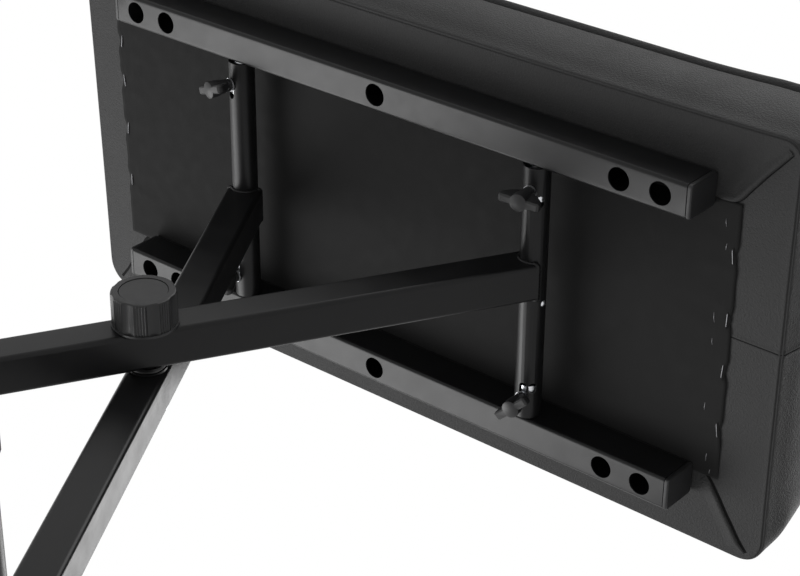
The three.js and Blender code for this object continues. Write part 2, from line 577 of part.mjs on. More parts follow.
function addKnob() {
  const outline = knobOutline();
  const flange = outline.map(([turn]) => [turn, KNOB_FLANGE_RADIUS]);
  const level = (points, z, limit) => {
    return points.map(([turn, radius]) => {
      const reach = Math.min(radius, limit);
      return new THREE.Vector3(reach * Math.cos(turn), reach * Math.sin(turn), z);
    });
  };
  const edge = roundedEdge(KNOB_RADIUS, KNOB_HEIGHT - KNOB_EDGE, KNOB_EDGE);
  const rings = [
    level(flange, 0, KNOB_FLANGE_RADIUS),
    level(flange, KNOB_FLANGE_HEIGHT, KNOB_FLANGE_RADIUS),
    level(outline, KNOB_FLANGE_HEIGHT, KNOB_RADIUS),
    ...edge.map(([radius, z]) => level(outline, z, radius)),
  ];
  const recess = KNOB_RECESS_DEPTH + CUT_OVERRUN;
  const pocket = INSERT_LENGTH + FIT_GAP + CUT_OVERRUN;
  const bore = BOLT_IN_KNOB + FIT_GAP + CUT_OVERRUN;
  const knob = cutAll(solidOf(loft(rings)), [
    rod("z", KNOB_RECESS_RADIUS, recess, [0, 0, KNOB_HEIGHT + CUT_OVERRUN - recess / 2]),
    rod("z", INSERT_RADIUS + FIT_GAP, pocket, [0, 0, pocket / 2 - CUT_OVERRUN], SMALL_ROUND_SIDES),
    rod("z", BOLT_RADIUS + FIT_GAP, bore, [0, 0, bore / 2 - CUT_OVERRUN], SMALL_ROUND_SIDES),
  ]);
  const frame = new THREE.Group();
  frame.position.set(0, KNOB_Y, PIVOT_Z);
  frame.rotation.x = Math.PI / 2;
  bench.add(frame);
  addPiece(frame, "knob", knob, blackPlastic);
  const capZ = KNOB_HEIGHT - KNOB_RECESS_DEPTH + FIT_GAP + KNOB_CAP_THICKNESS / 2;
  const cap = rod("z", KNOB_RECESS_RADIUS - FIT_GAP, KNOB_CAP_THICKNESS, [0, 0, capZ]);
  addPiece(frame, "knob_cap", cap, blackPlastic);
  const insert = ring(INSERT_RADIUS, BOLT_RADIUS + FIT_GAP, INSERT_LENGTH, SMALL_ROUND_SIDES);
  insert.rotateX(Math.PI / 2).translate(0, 0, INSERT_LENGTH / 2);
  addPiece(frame, "knob_insert", solidOf(insert), brass);
}

addKnob();

// Seat rail with access holes below, screw holes above and a pin hole over each top tube's end
function seatRail(side) {
  const y = side * RAIL_Y;
  const tube = boxTube(RAIL_WIDTH, RAIL_HEIGHT, RAIL_WALL, RAIL_CORNER, RAIL_LENGTH);
  tube.translate(0, 0, -RAIL_LENGTH / 2).rotateX(Math.PI / 2).rotateZ(Math.PI / 2);
  tube.translate(0, y, RAIL_Z + RAIL_HEIGHT / 2);
  const through = RAIL_WALL + 2 * CUT_OVERRUN;
  const access = [-ACCESS_OUTER, -ACCESS_INNER, 0, ACCESS_INNER, ACCESS_OUTER].map((x) => {
    return rod("z", ACCESS_RADIUS, through, [x, y, RAIL_Z + RAIL_WALL / 2]);
  });
  const screws = [-ACCESS_INNER, ACCESS_INNER].map((x) => {
    return rod("z", SCREW_RADIUS + FIT_GAP, through, [x, y, RAIL_TOP_Z - RAIL_WALL / 2], SMALL_ROUND_SIDES);
  });
  const pins = [-TOP_TUBE_X, TOP_TUBE_X].map((x) => {
    const wallY = side * (RAIL_INNER_Y + RAIL_WALL / 2);
    return rod("y", PIN_NOSE_RADIUS + FIT_GAP, through, [x, wallY, TOP_TUBE_Z], SMALL_ROUND_SIDES);
  });
  return cutAll(solidOf(tube), [...access, ...screws, ...pins]);
}

// Rail plug for the +X end: a rounded flange outside and a block inside the rail
function railPlug() {
  const face = roundedOutline(
    RAIL_WIDTH - 2 * PLUG_EDGE,
    RAIL_HEIGHT - 2 * PLUG_EDGE,
    RAIL_CORNER - PLUG_EDGE,
  );
  const flange = new THREE.ExtrudeGeometry(face, {
    depth: PLUG_FLANGE - PLUG_EDGE,
    curveSegments: 1,
    bevelThickness: PLUG_EDGE,
    bevelSize: PLUG_EDGE,
    bevelSegments: EDGE_STEPS,
  });
  const narrowing = 2 * (RAIL_WALL + FIT_GAP);
  const block = roundedOutline(RAIL_WIDTH - narrowing, RAIL_HEIGHT - narrowing, RAIL_CORNER - RAIL_WALL);
  const stem = raised(block, PLUG_DEPTH + PLUG_EDGE, 1).translate(0, 0, -PLUG_DEPTH);
  const plug = solidOf(flange).trimByPlane([0, 0, 1], 0).add(solidOf(stem));
  return plug.rotate([90, 0, 0]).rotate([0, 0, 90]);
}

// Seat screw with its head against the top wall inside the rail, and its tee nut in the board
function addSeatScrew(name, x, y) {
  const headTop = RAIL_TOP_Z - RAIL_WALL - FIT_GAP;
  const edgeStart = SCREW_HEAD_EDGE - SCREW_HEAD_HEIGHT;
  const head = roundedEdge(SCREW_HEAD_RADIUS, edgeStart, SCREW_HEAD_EDGE, -SCREW_HEAD_EDGE);
  const shank = RAIL_WALL + FIT_GAP + SCREW_REACH;
  const screw = turned([
    [0, -SCREW_HEAD_HEIGHT],
    ...head.reverse(),
    [SCREW_HEAD_RADIUS, 0],
    [SCREW_RADIUS, 0],
    [SCREW_RADIUS, shank],
    [0, shank],
  ], SMALL_ROUND_SIDES).rotateX(Math.PI / 2);
  addPiece(bench, `seat_screw_${name}`, solidOf(screw.translate(x, y, headTop)), zincSteel);
  const bore = SCREW_RADIUS + FIT_GAP;
  const nut = turned([
    [bore, -NUT_BARREL_LENGTH],
    [NUT_BARREL_RADIUS, -NUT_BARREL_LENGTH],
    [NUT_BARREL_RADIUS, -NUT_FLANGE_THICKNESS],
    [NUT_FLANGE_RADIUS, -NUT_FLANGE_THICKNESS],
    [NUT_FLANGE_RADIUS, 0],
    [bore, 0],
    [bore, -NUT_BARREL_LENGTH],
  ], SMALL_ROUND_SIDES).rotateX(Math.PI / 2);
  addPiece(bench, `tee_nut_${name}`, solidOf(nut.translate(x, y, BOARD_TOP_Z)), zincSteel);
}

const screwPlaces = [];
for (const [place, side] of [["front", -1], ["back", 1]]) {
  addPiece(bench, `seat_rail_${place}`, seatRail(side), blackSteel);
  for (const [endName, end] of [["left", -1], ["right", 1]]) {
    const plug = railPlug().rotate([0, 0, end < 0 ? 180 : 0]);
    const plugX = end * (RAIL_LENGTH / 2 + FIT_GAP);
    const seated = plug.translate([plugX, side * RAIL_Y, RAIL_Z + RAIL_HEIGHT / 2]);
    addPiece(bench, `rail_plug_${place}_${endName}`, seated, blackPlastic);
    addSeatScrew(`${place}_${endName}`, end * ACCESS_INNER, side * RAIL_Y);
    screwPlaces.push([end * ACCESS_INNER, side * RAIL_Y]);
  }
}

// Levels of the cushion from the underside to the crown: inset from the outline, height above the
// underside, and share of the draw-in
const cushionLevels = [
  [SEAT_CREASE, 0, 0],
  [SEAT_CREASE / 4, SEAT_CREASE / 4, 0],
  [0, SEAT_CREASE, 0],
  [-BAND_BULGE, SEAM_HEIGHT / 3, 1 / 2],
  [-BAND_BULGE / 2, (SEAM_HEIGHT * 3) / 4, 1],
  [0, SEAM_HEIGHT - SEAM_HALF_WIDTH, 1],
  [SEAM_PINCH, SEAM_HEIGHT, 1],
  [0, SEAM_HEIGHT + SEAM_HALF_WIDTH, 1],
  [-ROLL_BULGE, SEAM_HEIGHT + ROLL_HEIGHT / 2, 1],
  [-ROLL_BULGE / 2, SEAM_HEIGHT + (ROLL_HEIGHT * 3) / 4, 1],
  [ROLL_BULGE, TOP_PANEL_Z, 1],
  [CROWN_EDGE, TOP_PANEL_Z + CROWN / 4, 1 / 2],
  [SEAT_WIDTH / 5, TOP_PANEL_Z + (CROWN * 3) / 4, 0],
  [(SEAT_WIDTH * 2) / 5, TOP_PANEL_Z + CROWN, 0],
];

// One ring of the cushion: four rounded corners, and sides pulled in between them
function cushionRing(inset, z, pull) {
  const corner = Math.max(SEAT_CORNER - inset, SEAT_CREASE);
  const x = SEAT_LENGTH / 2 - inset - corner;
  const y = SEAT_WIDTH / 2 - inset - corner;
  const corners = [[x, y], [-x, y], [-x, -y], [x, -y]];
  return corners.flatMap(([cornerX, cornerY], quarter) => {
    const points = [];
    for (let step = 0; step <= SEAT_CORNER_STEPS; step += 1) {
      const turn = (quarter + step / SEAT_CORNER_STEPS) * (Math.PI / 2);
      points.push([cornerX + corner * Math.cos(turn), cornerY + corner * Math.sin(turn)]);
    }
    const long = quarter % 2 === 0;
    const steps = long ? SEAT_LONG_STEPS : SEAT_SHORT_STEPS;
    const half = long ? x : y;
    const out = (long ? y : x) + corner;
    const facing = (quarter + 1) * (Math.PI / 2);
    for (let step = 1; step < steps; step += 1) {
      const along = (2 * step) / steps - 1;
      const reach = out - pull * (1 - along ** PULL_POWER);
      points.push([
        reach * Math.cos(facing) - half * along * Math.sin(facing),
        reach * Math.sin(facing) + half * along * Math.cos(facing),
      ]);
    }
    return points.map(([pointX, pointY]) => new THREE.Vector3(pointX, pointY, z));
  });
}

// The cushion's form shrunk by a skin's thickness and, where a floor is given, standing on that height
function cushionBody(skin, floor = 0) {
  const rings = cushionLevels
    .filter(([, height]) => floor === 0 || height > floor)
    .map(([inset, height, share]) => {
      const level = height > SEAM_HEIGHT + ROLL_HEIGHT / 2 ? height - skin : Math.max(height, skin);
      return cushionRing(inset + skin, COVER_Z + level, SEAT_DRAW_IN * share);
    });
  if (floor > 0) rings.unshift(cushionRing(skin, COVER_Z + floor, SEAT_DRAW_IN));
  return solidOf(loft(rings));
}

function addSeat() {
  const opening = roundedOutline(
    SEAT_LENGTH - 2 * COVER_WRAP_ENDS,
    SEAT_WIDTH - 2 * COVER_WRAP_SIDES,
    SEAT_CORNER,
  );
  const cover = cutAll(cushionBody(0), [
    cushionBody(COVER_THICKNESS),
    solidOf(raised(opening, 2 * CUT_OVERRUN).translate(0, 0, COVER_Z - CUT_OVERRUN)),
    ...screwPlaces.map(([x, y]) => {
      return rod("z", SCREW_RADIUS + FIT_GAP, 2 * CUT_OVERRUN, [x, y, COVER_Z], SMALL_ROUND_SIDES);
    }),
  ]);
  addPiece(bench, "seat_cover", cover, leather);

  const inset = COVER_THICKNESS + FIT_GAP;
  addPiece(bench, "foam_pad", cushionBody(inset, BOARD_TOP_Z + FIT_GAP - COVER_Z), foam);

  const edge = 2 * (inset + BOARD_EASE);
  const boardOutline = roundedOutline(SEAT_LENGTH - edge, SEAT_WIDTH - edge, SEAT_CORNER);
  const board = solidOf(raised(boardOutline, BOARD_THICKNESS).translate(0, 0, BOARD_Z));
  const barrelBore = NUT_BARREL_RADIUS + FIT_GAP;
  const flangeBore = NUT_FLANGE_RADIUS + FIT_GAP;
  const flangeDepth = NUT_FLANGE_THICKNESS + FIT_GAP;
  const nutHoles = screwPlaces.flatMap(([x, y]) => [
    rod("z", barrelBore, 2 * (BOARD_THICKNESS + CUT_OVERRUN), [x, y, BOARD_Z], SMALL_ROUND_SIDES),
    rod("z", flangeBore, 2 * flangeDepth, [x, y, BOARD_TOP_Z], SMALL_ROUND_SIDES),
  ]);
  addPiece(bench, "seat_board", cutAll(board, nutHoles), plywood);

  const dustLength = DUST_COVER_LEFT + DUST_COVER_RIGHT;
  const dust = raised(roundedOutline(dustLength, DUST_COVER_WIDTH, DUST_COVER_CORNER), DUST_COVER_THICKNESS);
  dust.translate((DUST_COVER_RIGHT - DUST_COVER_LEFT) / 2, 0, DUST_COVER_Z);
  addPiece(bench, "dust_cover", solidOf(dust), feltCloth);
}

addSeat();

export default bench;
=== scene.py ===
import json
import math

import bpy
import numpy as np
from mathutils import Matrix, Vector, noise
from mathutils.bvhtree import BVHTree

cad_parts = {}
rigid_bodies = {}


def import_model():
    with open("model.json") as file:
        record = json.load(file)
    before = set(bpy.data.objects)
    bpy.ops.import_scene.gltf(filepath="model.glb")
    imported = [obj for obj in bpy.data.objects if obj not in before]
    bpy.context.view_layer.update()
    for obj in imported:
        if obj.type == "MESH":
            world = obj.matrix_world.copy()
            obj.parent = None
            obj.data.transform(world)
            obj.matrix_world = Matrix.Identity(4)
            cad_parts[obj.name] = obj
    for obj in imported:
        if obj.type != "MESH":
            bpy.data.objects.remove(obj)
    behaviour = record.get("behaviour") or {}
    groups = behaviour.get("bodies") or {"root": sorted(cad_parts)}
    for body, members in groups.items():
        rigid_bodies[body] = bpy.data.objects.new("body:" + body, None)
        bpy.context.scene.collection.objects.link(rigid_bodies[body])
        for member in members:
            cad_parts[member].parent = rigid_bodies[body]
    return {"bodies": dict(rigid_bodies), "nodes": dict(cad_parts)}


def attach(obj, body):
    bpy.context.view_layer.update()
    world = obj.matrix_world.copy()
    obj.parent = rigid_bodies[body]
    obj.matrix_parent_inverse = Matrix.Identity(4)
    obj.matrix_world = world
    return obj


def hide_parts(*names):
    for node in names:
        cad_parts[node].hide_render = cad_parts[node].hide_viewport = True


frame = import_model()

MM = 0.001
bench_nodes = frame["nodes"]
scene = bpy.context.scene
for leftover in list(bpy.data.objects):
    if leftover not in bench_nodes.values() and leftover not in frame["bodies"].values():
        bpy.data.objects.remove(leftover)
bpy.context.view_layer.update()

# Camera. The bench is seen from under its front right corner, close to the seat's underside, with
# the knob end of the legs to the left. Its place and lens come from fitting the bench's known
# edges to where they fall in the picture.
SENSOR_WIDTH = 36
FOCAL_LENGTH = 95.952
CAMERA_PLACE = Vector((0.860184, -0.688330, -0.516895))
camera_lens = bpy.data.cameras.new("photo_camera")
camera_lens.sensor_width = SENSOR_WIDTH
camera_lens.lens = FOCAL_LENGTH
camera_lens.clip_start = 10 * MM
camera = bpy.data.objects.new("photo_camera", camera_lens)
camera_right = Vector((0.767893, -0.006460, 0.640546))
camera_up = Vector((-0.313039, -0.876202, 0.366437))
camera_back = Vector((0.558880, -0.481901, -0.674852))
camera.matrix_world = Matrix.Translation(CAMERA_PLACE) @ Matrix(
    (camera_right, camera_up, camera_back)
).transposed().to_4x4()
scene.collection.objects.link(camera)
scene.camera = camera

# Leg frames. Two square steel legs, each coped and welded to a round tube at its top and to a
# bigger one at its foot, and then powder coated satin black as one piece, so the coat runs over
# the weld beads and rounds every edge a little.


def add_step(tree, kind, values=None, **settings):
    """One node of a finish, with its inputs set by name or number."""
    step = tree.nodes.new(kind)
    for name, setting in settings.items():
        setattr(step, name, setting)
    for name, value in (values or {}).items():
        step.inputs[name].default_value = value
    return step


def new_group(name, takes, gives):
    """An effect shared by several finishes, with its sockets and its inner ends."""
    group = bpy.data.node_groups.new(name, "ShaderNodeTree")
    for label, kind, start in takes:
        socket = group.interface.new_socket(label, in_out="INPUT", socket_type=kind)
        if start is not None:
            socket.default_value = start
    for label, kind in gives:
        group.interface.new_socket(label, in_out="OUTPUT", socket_type=kind)
    return group, group.nodes.new("NodeGroupInput"), group.nodes.new("NodeGroupOutput")


NUMBER = "NodeSocketFloat"
COLOUR = "NodeSocketColor"
DIRECTION = "NodeSocketVector"

# Slow change between two tones, as coats, cloth and moulded parts all have
drift, ends_in, ends_out = new_group(
    "tone_drift",
    [("Place", DIRECTION, None), ("Scale", NUMBER, 30.0), ("Dark", COLOUR, (0, 0, 0, 1)),
     ("Light", COLOUR, (1, 1, 1, 1)), ("Low", NUMBER, 0.3), ("High", NUMBER, 0.5)],
    [("Colour", COLOUR), ("Value", NUMBER)],
)
cloud = add_step(drift, "ShaderNodeTexNoise", {"Detail": 4.0, "Roughness": 0.6})
tone = add_step(drift, "ShaderNodeMix", data_type="RGBA")
level = add_step(drift, "ShaderNodeMapRange", {"From Min": 0.3, "From Max": 0.7})
drift.links.new(ends_in.outputs["Place"], cloud.inputs["Vector"])
drift.links.new(ends_in.outputs["Scale"], cloud.inputs["Scale"])
drift.links.new(cloud.outputs["Fac"], level.inputs["Value"])
drift.links.new(ends_in.outputs["Low"], level.inputs["To Min"])
drift.links.new(ends_in.outputs["High"], level.inputs["To Max"])
drift.links.new(cloud.outputs["Fac"], tone.inputs["Factor"])
drift.links.new(ends_in.outputs["Dark"], tone.inputs["A"])
drift.links.new(ends_in.outputs["Light"], tone.inputs["B"])
drift.links.new(tone.outputs["Result"], ends_out.inputs["Colour"])
drift.links.new(level.outputs["Result"], ends_out.inputs["Value"])

# Fine pitted surface, from the orange peel of a powder coat to the spark texture of a mould
pitting, ends_in, ends_out = new_group(
    "fine_pitting",
    [("Place", DIRECTION, None), ("Scale", NUMBER, 900.0), ("Depth", NUMBER, 0.00004),
     ("Strength", NUMBER, 0.3)],
    [("Normal", DIRECTION)],
)
grain = add_step(pitting, "ShaderNodeTexNoise", {"Detail": 3.0, "Roughness": 0.55})
dents = add_step(pitting, "ShaderNodeBump")
pitting.links.new(ends_in.outputs["Place"], grain.inputs["Vector"])
pitting.links.new(ends_in.outputs["Scale"], grain.inputs["Scale"])
pitting.links.new(grain.outputs["Fac"], dents.inputs["Height"])
pitting.links.new(ends_in.outputs["Depth"], dents.inputs["Distance"])
pitting.links.new(ends_in.outputs["Strength"], dents.inputs["Strength"])
pitting.links.new(dents.outputs["Normal"], ends_out.inputs["Normal"])


def new_finish(name, colour, roughness, metallic=0.0):
    """An empty finish: its node tree, its shader and a place along the object."""
    finish = bpy.data.materials.new(name)
    finish.use_nodes = True
    tree = finish.node_tree
    shader = tree.nodes["Principled BSDF"]
    shader.inputs["Base Color"].default_value = (*colour, 1)
    shader.inputs["Roughness"].default_value = roughness
    shader.inputs["Metallic"].default_value = metallic
    place = tree.nodes.new("ShaderNodeTexCoord").outputs["Object"]
    return finish, tree, shader, place


def drifting(tree, shader, place, scale, dark, light, low, high):
    """Colour and roughness that change slowly over the piece."""
    change = add_step(tree, "ShaderNodeGroup", node_tree=drift)
    tree.links.new(place, change.inputs["Place"])
    change.inputs["Scale"].default_value = scale
    change.inputs["Dark"].default_value = (*dark, 1)
    change.inputs["Light"].default_value = (*light, 1)
    change.inputs["Low"].default_value = low
    change.inputs["High"].default_value = high
    tree.links.new(change.outputs["Colour"], shader.inputs["Base Color"])
    tree.links.new(change.outputs["Value"], shader.inputs["Roughness"])


def pitted(tree, shader, place, scale, depth, strength):
    """A fine texture that is felt more than seen."""
    texture = add_step(tree, "ShaderNodeGroup", node_tree=pitting)
    tree.links.new(place, texture.inputs["Place"])
    texture.inputs["Scale"].default_value = scale
    texture.inputs["Depth"].default_value = depth
    texture.inputs["Strength"].default_value = strength
    tree.links.new(texture.outputs["Normal"], shader.inputs["Normal"])


powder_coat, tree, shader, place = new_finish("powder_coat", (0.007, 0.007, 0.0073), 0.34)
drifting(tree, shader, place, 60, (0.006, 0.006, 0.0063), (0.009, 0.009, 0.0094), 0.31, 0.38)
pitted(tree, shader, place, 1400, 0.00003, 0.35)
shader.inputs["Specular IOR Level"].default_value = 0.18

# Shaded as one smooth skin wherever two faces meet gently, with crisp edges left crisp
CRISP_FROM = math.radians(48)
EASED_FROM = math.radians(32)
EASING_FACES = 2
WELDED_WITHIN = 0.01 * MM
smoothing = bpy.data.node_groups.new("smooth_skin", "GeometryNodeTree")
smoothing.interface.new_socket("Geometry", in_out="INPUT", socket_type="NodeSocketGeometry")
smoothing.interface.new_socket("Geometry", in_out="OUTPUT", socket_type="NodeSocketGeometry")
skin_in = smoothing.nodes.new("NodeGroupInput")
skin_out = smoothing.nodes.new("NodeGroupOutput")
joined = add_step(smoothing, "GeometryNodeMergeByDistance", {"Distance": WELDED_WITHIN})
bare = add_step(smoothing, "GeometryNodeRemoveAttribute", {"Name": "custom_normal"})
rounded = add_step(smoothing, "GeometryNodeSetShadeSmooth", {"Shade Smooth": True},
                   domain="FACE")
creased = add_step(smoothing, "GeometryNodeSetShadeSmooth", {"Shade Smooth": False},
                   domain="EDGE")
turn = add_step(smoothing, "GeometryNodeInputMeshEdgeAngle")
sharp = add_step(smoothing, "FunctionNodeCompare", {"B": CRISP_FROM}, operation="GREATER_THAN")
smoothing.links.new(skin_in.outputs["Geometry"], joined.inputs["Geometry"])
smoothing.links.new(joined.outputs["Geometry"], bare.inputs["Geometry"])
smoothing.links.new(bare.outputs["Geometry"], rounded.inputs["Geometry"])
smoothing.links.new(rounded.outputs["Geometry"], creased.inputs["Geometry"])
smoothing.links.new(turn.outputs["Unsigned Angle"], sharp.inputs["A"])
smoothing.links.new(sharp.outputs["Result"], creased.inputs["Selection"])
smoothing.links.new(creased.outputs["Geometry"], skin_out.inputs["Geometry"])


def finished(node, finish, edge=0.0):
    """Gives a node its finish, a smooth skin and, where an edge is given, eased edges."""
    piece = bench_nodes[node]
    piece.data.materials.clear()
    piece.data.materials.append(finish)
    piece.modifiers.new("smooth_skin", "NODES").node_group = smoothing
    if edge:
        easing = piece.modifiers.new("eased_edges", "BEVEL")
        easing.width = edge
        easing.segments = EASING_FACES
        easing.limit_method = "ANGLE"
        easing.angle_limit = EASED_FROM
    even = piece.modifiers.new("flat_faces_flat", "WEIGHTED_NORMAL")
    even.keep_sharp = True
    return piece


for letter in "ab":
    finished(f"leg_{letter}", powder_coat)
    finished(f"top_tube_{letter}", powder_coat)
    finished(f"foot_tube_{letter}", powder_coat)

# Weld beads. One run of weld closes each end of a leg against its round tube: straight along the
# two sides and round the tube on the two faces, with a hand-held torch's ripples under the coat.
PIVOT = Vector((0, 0, 272.48)) * MM
LEG_HALF = 13.3 * MM
LEG_TILT = math.radians(30)
RIPPLE = 2.3 * MM
RIPPLE_HEIGHT_SHARE = 0.09
UNEVEN_SHARE = 0.12
WELD_GAP = 0.3 * MM
SIDE_BEAD = 1.9
FACE_BEAD = 1.2
SIDE_STEPS = 24
FACE_STEPS = 32
BEAD_SIDES = 10
BEAD_UNEVENNESS = 300
BEAD_SMOOTHINGS = 2
RIPPLE_POINTS = 4


def bar_along(path, radii, sides, closed=False):
    """Points and faces of a round bar that follows a path."""
    points = []
    faces = []
    count = len(path)
    side = None
    for k, (centre, radius) in enumerate(zip(path, radii)):
        before = path[k - 1] if closed or k > 0 else centre
        after = path[(k + 1) % count] if closed or k < count - 1 else centre
        along = (after - before).normalized()
        side = side or along.orthogonal()
        side = (side - along * side.dot(along)).normalized()
        up = along.cross(side)
        for s in range(sides):
            turn = 2 * math.pi * s / sides
            points.append(centre + (side * math.cos(turn) + up * math.sin(turn)) * radius)
    last = (count - 1) * sides
    for k in range(count - 1):
        for s in range(sides):
            low, after = k * sides + s, k * sides + (s + 1) % sides
            faces.append((low, after, after + sides, low + sides))
    if closed:
        shift = min(range(sides), key=lambda s: (points[s] - points[last]).length)
        for s in range(sides):
            after = (s + 1) % sides
            faces.append((last + s, last + after, (after + shift) % sides, (s + shift) % sides))
    else:
        faces.append(tuple(reversed(range(sides))))
        faces.append(tuple(range(last, last + sides)))
    return points, faces


def new_piece(name, points, faces, finish, body):
    """A piece made here: smooth shaded, riding on a body, with a finish."""
    mesh = bpy.data.meshes.new(name)
    mesh.from_pydata(points, [], faces)
    for polygon in mesh.polygons:
        polygon.use_smooth = True
    mesh.materials.append(finish)
    piece = bpy.data.objects.new(name, mesh)
    scene.collection.objects.link(piece)
    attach(piece, body)
    return piece


def weld_run(outer, middle_y, reach, tube_radius, trim, towards_leg):
    """The path of a bead round one end of a leg, and its thickness along the way."""
    up = Vector((outer * math.sin(LEG_TILT), 0, math.cos(LEG_TILT)))
    across = Vector((outer * math.cos(LEG_TILT), 0, -math.sin(LEG_TILT)))
    centre = PIVOT + up * reach
    ring = tube_radius + WELD_GAP
    half_chord = math.sqrt(ring ** 2 - trim ** 2)
    side_place = (half_chord + LEG_HALF) / 2
    arc = math.acos(trim / tube_radius)
    face = LEG_HALF + WELD_GAP
    corners = []
    for side in (1, -1):
        for step in range(SIDE_STEPS + 1):
            y = -side * face * (1 - 2 * step / SIDE_STEPS)
            corners.append((side * side_place, trim - WELD_GAP, y, SIDE_BEAD))
        for step in range(1, FACE_STEPS):
            turn = side * arc * (1 - 2 * step / FACE_STEPS)
            y = side * (face - WELD_GAP)
            corners.append((ring * math.sin(turn), ring * math.cos(turn), y, FACE_BEAD))
    for settle in range(BEAD_SMOOTHINGS):
        ahead = corners[1:] + corners[:1]
        behind = corners[-1:] + corners[:-1]
        corners = [
            tuple((a + 2 * b + c) / 4 for a, b, c in zip(*three))
            for three in zip(behind, corners, ahead)
        ]
    path = [
        centre + across * a + up * towards_leg * b + Vector((0, middle_y + y, 0))
        for a, b, y, size in corners
    ]
    return path, [size * MM for a, b, y, size in corners]


def evenly(path, radii, spacing):
    """The same closed run with points at even spacing."""
    loop = path + path[:1]
    gone = [0.0]
    for one, two in zip(loop, loop[1:]):
        gone.append(gone[-1] + (two - one).length)
    count = int(gone[-1] / spacing)
    marks = [gone[-1] * k / count for k in range(count)]
    ways = [np.interp(marks, gone, [point[axis] for point in loop]) for axis in range(3)]
    sizes = np.interp(marks, gone, radii + radii[:1])
    return [Vector(point) for point in zip(*ways)], list(sizes), marks


# Each leg's lean and its middle, and for each end the tube's distance from the pivot, its radius,
# how far off its middle the leg is cut and which way the leg runs
leg_places = (("a", 1, -12.5 * MM), ("b", -1, 19.7 * MM))
leg_ends = (
    ("top", 264 * MM, 9.5 * MM, 2.2 * MM, -1),
    ("foot", -295 * MM, 12.5 * MM, 6.5 * MM, 1),
)
for letter, outer, middle_y in leg_places:
    for end, reach, tube_radius, trim, towards_leg in leg_ends:
        path, radii = weld_run(outer, middle_y, reach, tube_radius, trim, towards_leg)
        path, radii, marks = evenly(path, radii, RIPPLE / RIPPLE_POINTS)
        uneven = [noise.noise(point * BEAD_UNEVENNESS) for point in path]
        ripples = [
            RIPPLE_HEIGHT_SHARE * math.sin(2 * math.pi * mark / RIPPLE + 2 * wander)
            for mark, wander in zip(marks, uneven)
        ]
        radii = [
            size * (1 + ripple + UNEVEN_SHARE * wander)
            for size, ripple, wander in zip(radii, ripples, uneven)
        ]
        points, faces = bar_along(path, radii, BEAD_SIDES, closed=True)
        new_piece(f"weld_{letter}_{end}", points, faces, powder_coat, f"leg_frame_{letter}")

# Centre pivot. A bolt through a sleeve in each leg, steel discs and a nylon washer between the
# legs, all zinc plated apart from the coated discs and the black nylon.
zinc, tree, shader, place = new_finish("zinc_plate", (0.6, 0.61, 0.63), 0.3, 1.0)
drifting(tree, shader, place, 180, (0.5, 0.51, 0.54), (0.7, 0.71, 0.72), 0.24, 0.4)
pitted(tree, shader, place, 2600, 0.00002, 0.4)
nylon, tree, shader, place = new_finish("nylon", (0.02, 0.02, 0.02), 0.5)
drifting(tree, shader, place, 120, (0.015, 0.015, 0.015), (0.025, 0.025, 0.025), 0.42, 0.55)
for letter in "ab":
    finished(f"pivot_plate_{letter}", powder_coat)
    finished(f"pivot_sleeve_{letter}", zinc)
finished("friction_washer", nylon)
finished("bolt_washer", zinc)
finished("pivot_bolt", zinc)
finished("tube_rivet", zinc)

# Clamp knob. Moulded black plastic round a brass insert, with groups of ribs for the fingers and
# a cap pressed into the recess in its top.
black_plastic, tree, shader, place = new_finish("black_plastic", (0.012, 0.012, 0.0125), 0.42)
drifting(tree, shader, place, 140, (0.009, 0.009, 0.0095), (0.015, 0.015, 0.0156), 0.4, 0.5)
shader.inputs["Specular IOR Level"].default_value = 0.3
pitted(tree, shader, place, 2200, 0.00003, 0.4)
brass, tree, shader, place = new_finish("brass", (0.6, 0.42, 0.18), 0.32, 1.0)
drifting(tree, shader, place, 200, (0.5, 0.34, 0.14), (0.66, 0.48, 0.22), 0.28, 0.4)
KNOB_EDGE = 0.25 * MM
CAP_EDGE = 0.2 * MM
finished("knob", black_plastic, KNOB_EDGE)
finished("knob_cap", black_plastic, CAP_EDGE)
finished("knob_insert", brass)

# Lock pins and wing screws. A turned zinc pin slides in each end of a top tube and is worked by a
# wing screw, black plastic moulded on a zinc stud, that runs in a hooked slot.
HANDLE_EDGE = 0.3 * MM
for letter in "ab":
    for end in ("front", "back"):
        finished(f"lock_pin_{letter}_{end}", zinc)
        finished(f"wing_stud_{letter}_{end}", zinc)
        finished(f"wing_washer_{letter}_{end}", zinc)
        finished(f"wing_handle_{letter}_{end}", black_plastic, HANDLE_EDGE)

# Feet. Moulded rubber caps pushed over the ends of the foot tubes, each with a flat pad below.
foot_rubber, tree, shader, place = new_finish("foot_rubber", (0.012, 0.012, 0.012), 0.7)
drifting(tree, shader, place, 90, (0.01, 0.01, 0.01), (0.02, 0.02, 0.02), 0.62, 0.8)
pitted(tree, shader, place, 1500, 0.00005, 0.5)
FOOT_EDGE = 0.4 * MM
for letter in "ab":
    for end in ("front", "back"):
        finished(f"foot_cap_{letter}_{end}", foot_rubber, FOOT_EDGE)

# Seat rails. Rectangular steel tube, powder coated as the legs are, drilled for the screws and the
# lock pins and closed at both ends by moulded plugs.
RAIL_EDGE = 0.5 * MM
PLUG_EDGE = 0.4 * MM
SCREW_EDGE = 0.2 * MM
for end in ("front", "back"):
    finished(f"seat_rail_{end}", powder_coat, RAIL_EDGE)
    for side in ("left", "right"):
        finished(f"rail_plug_{end}_{side}", black_plastic, PLUG_EDGE)
        finished(f"seat_screw_{end}_{side}", zinc, SCREW_EDGE)
        finished(f"tee_nut_{end}_{side}", zinc)

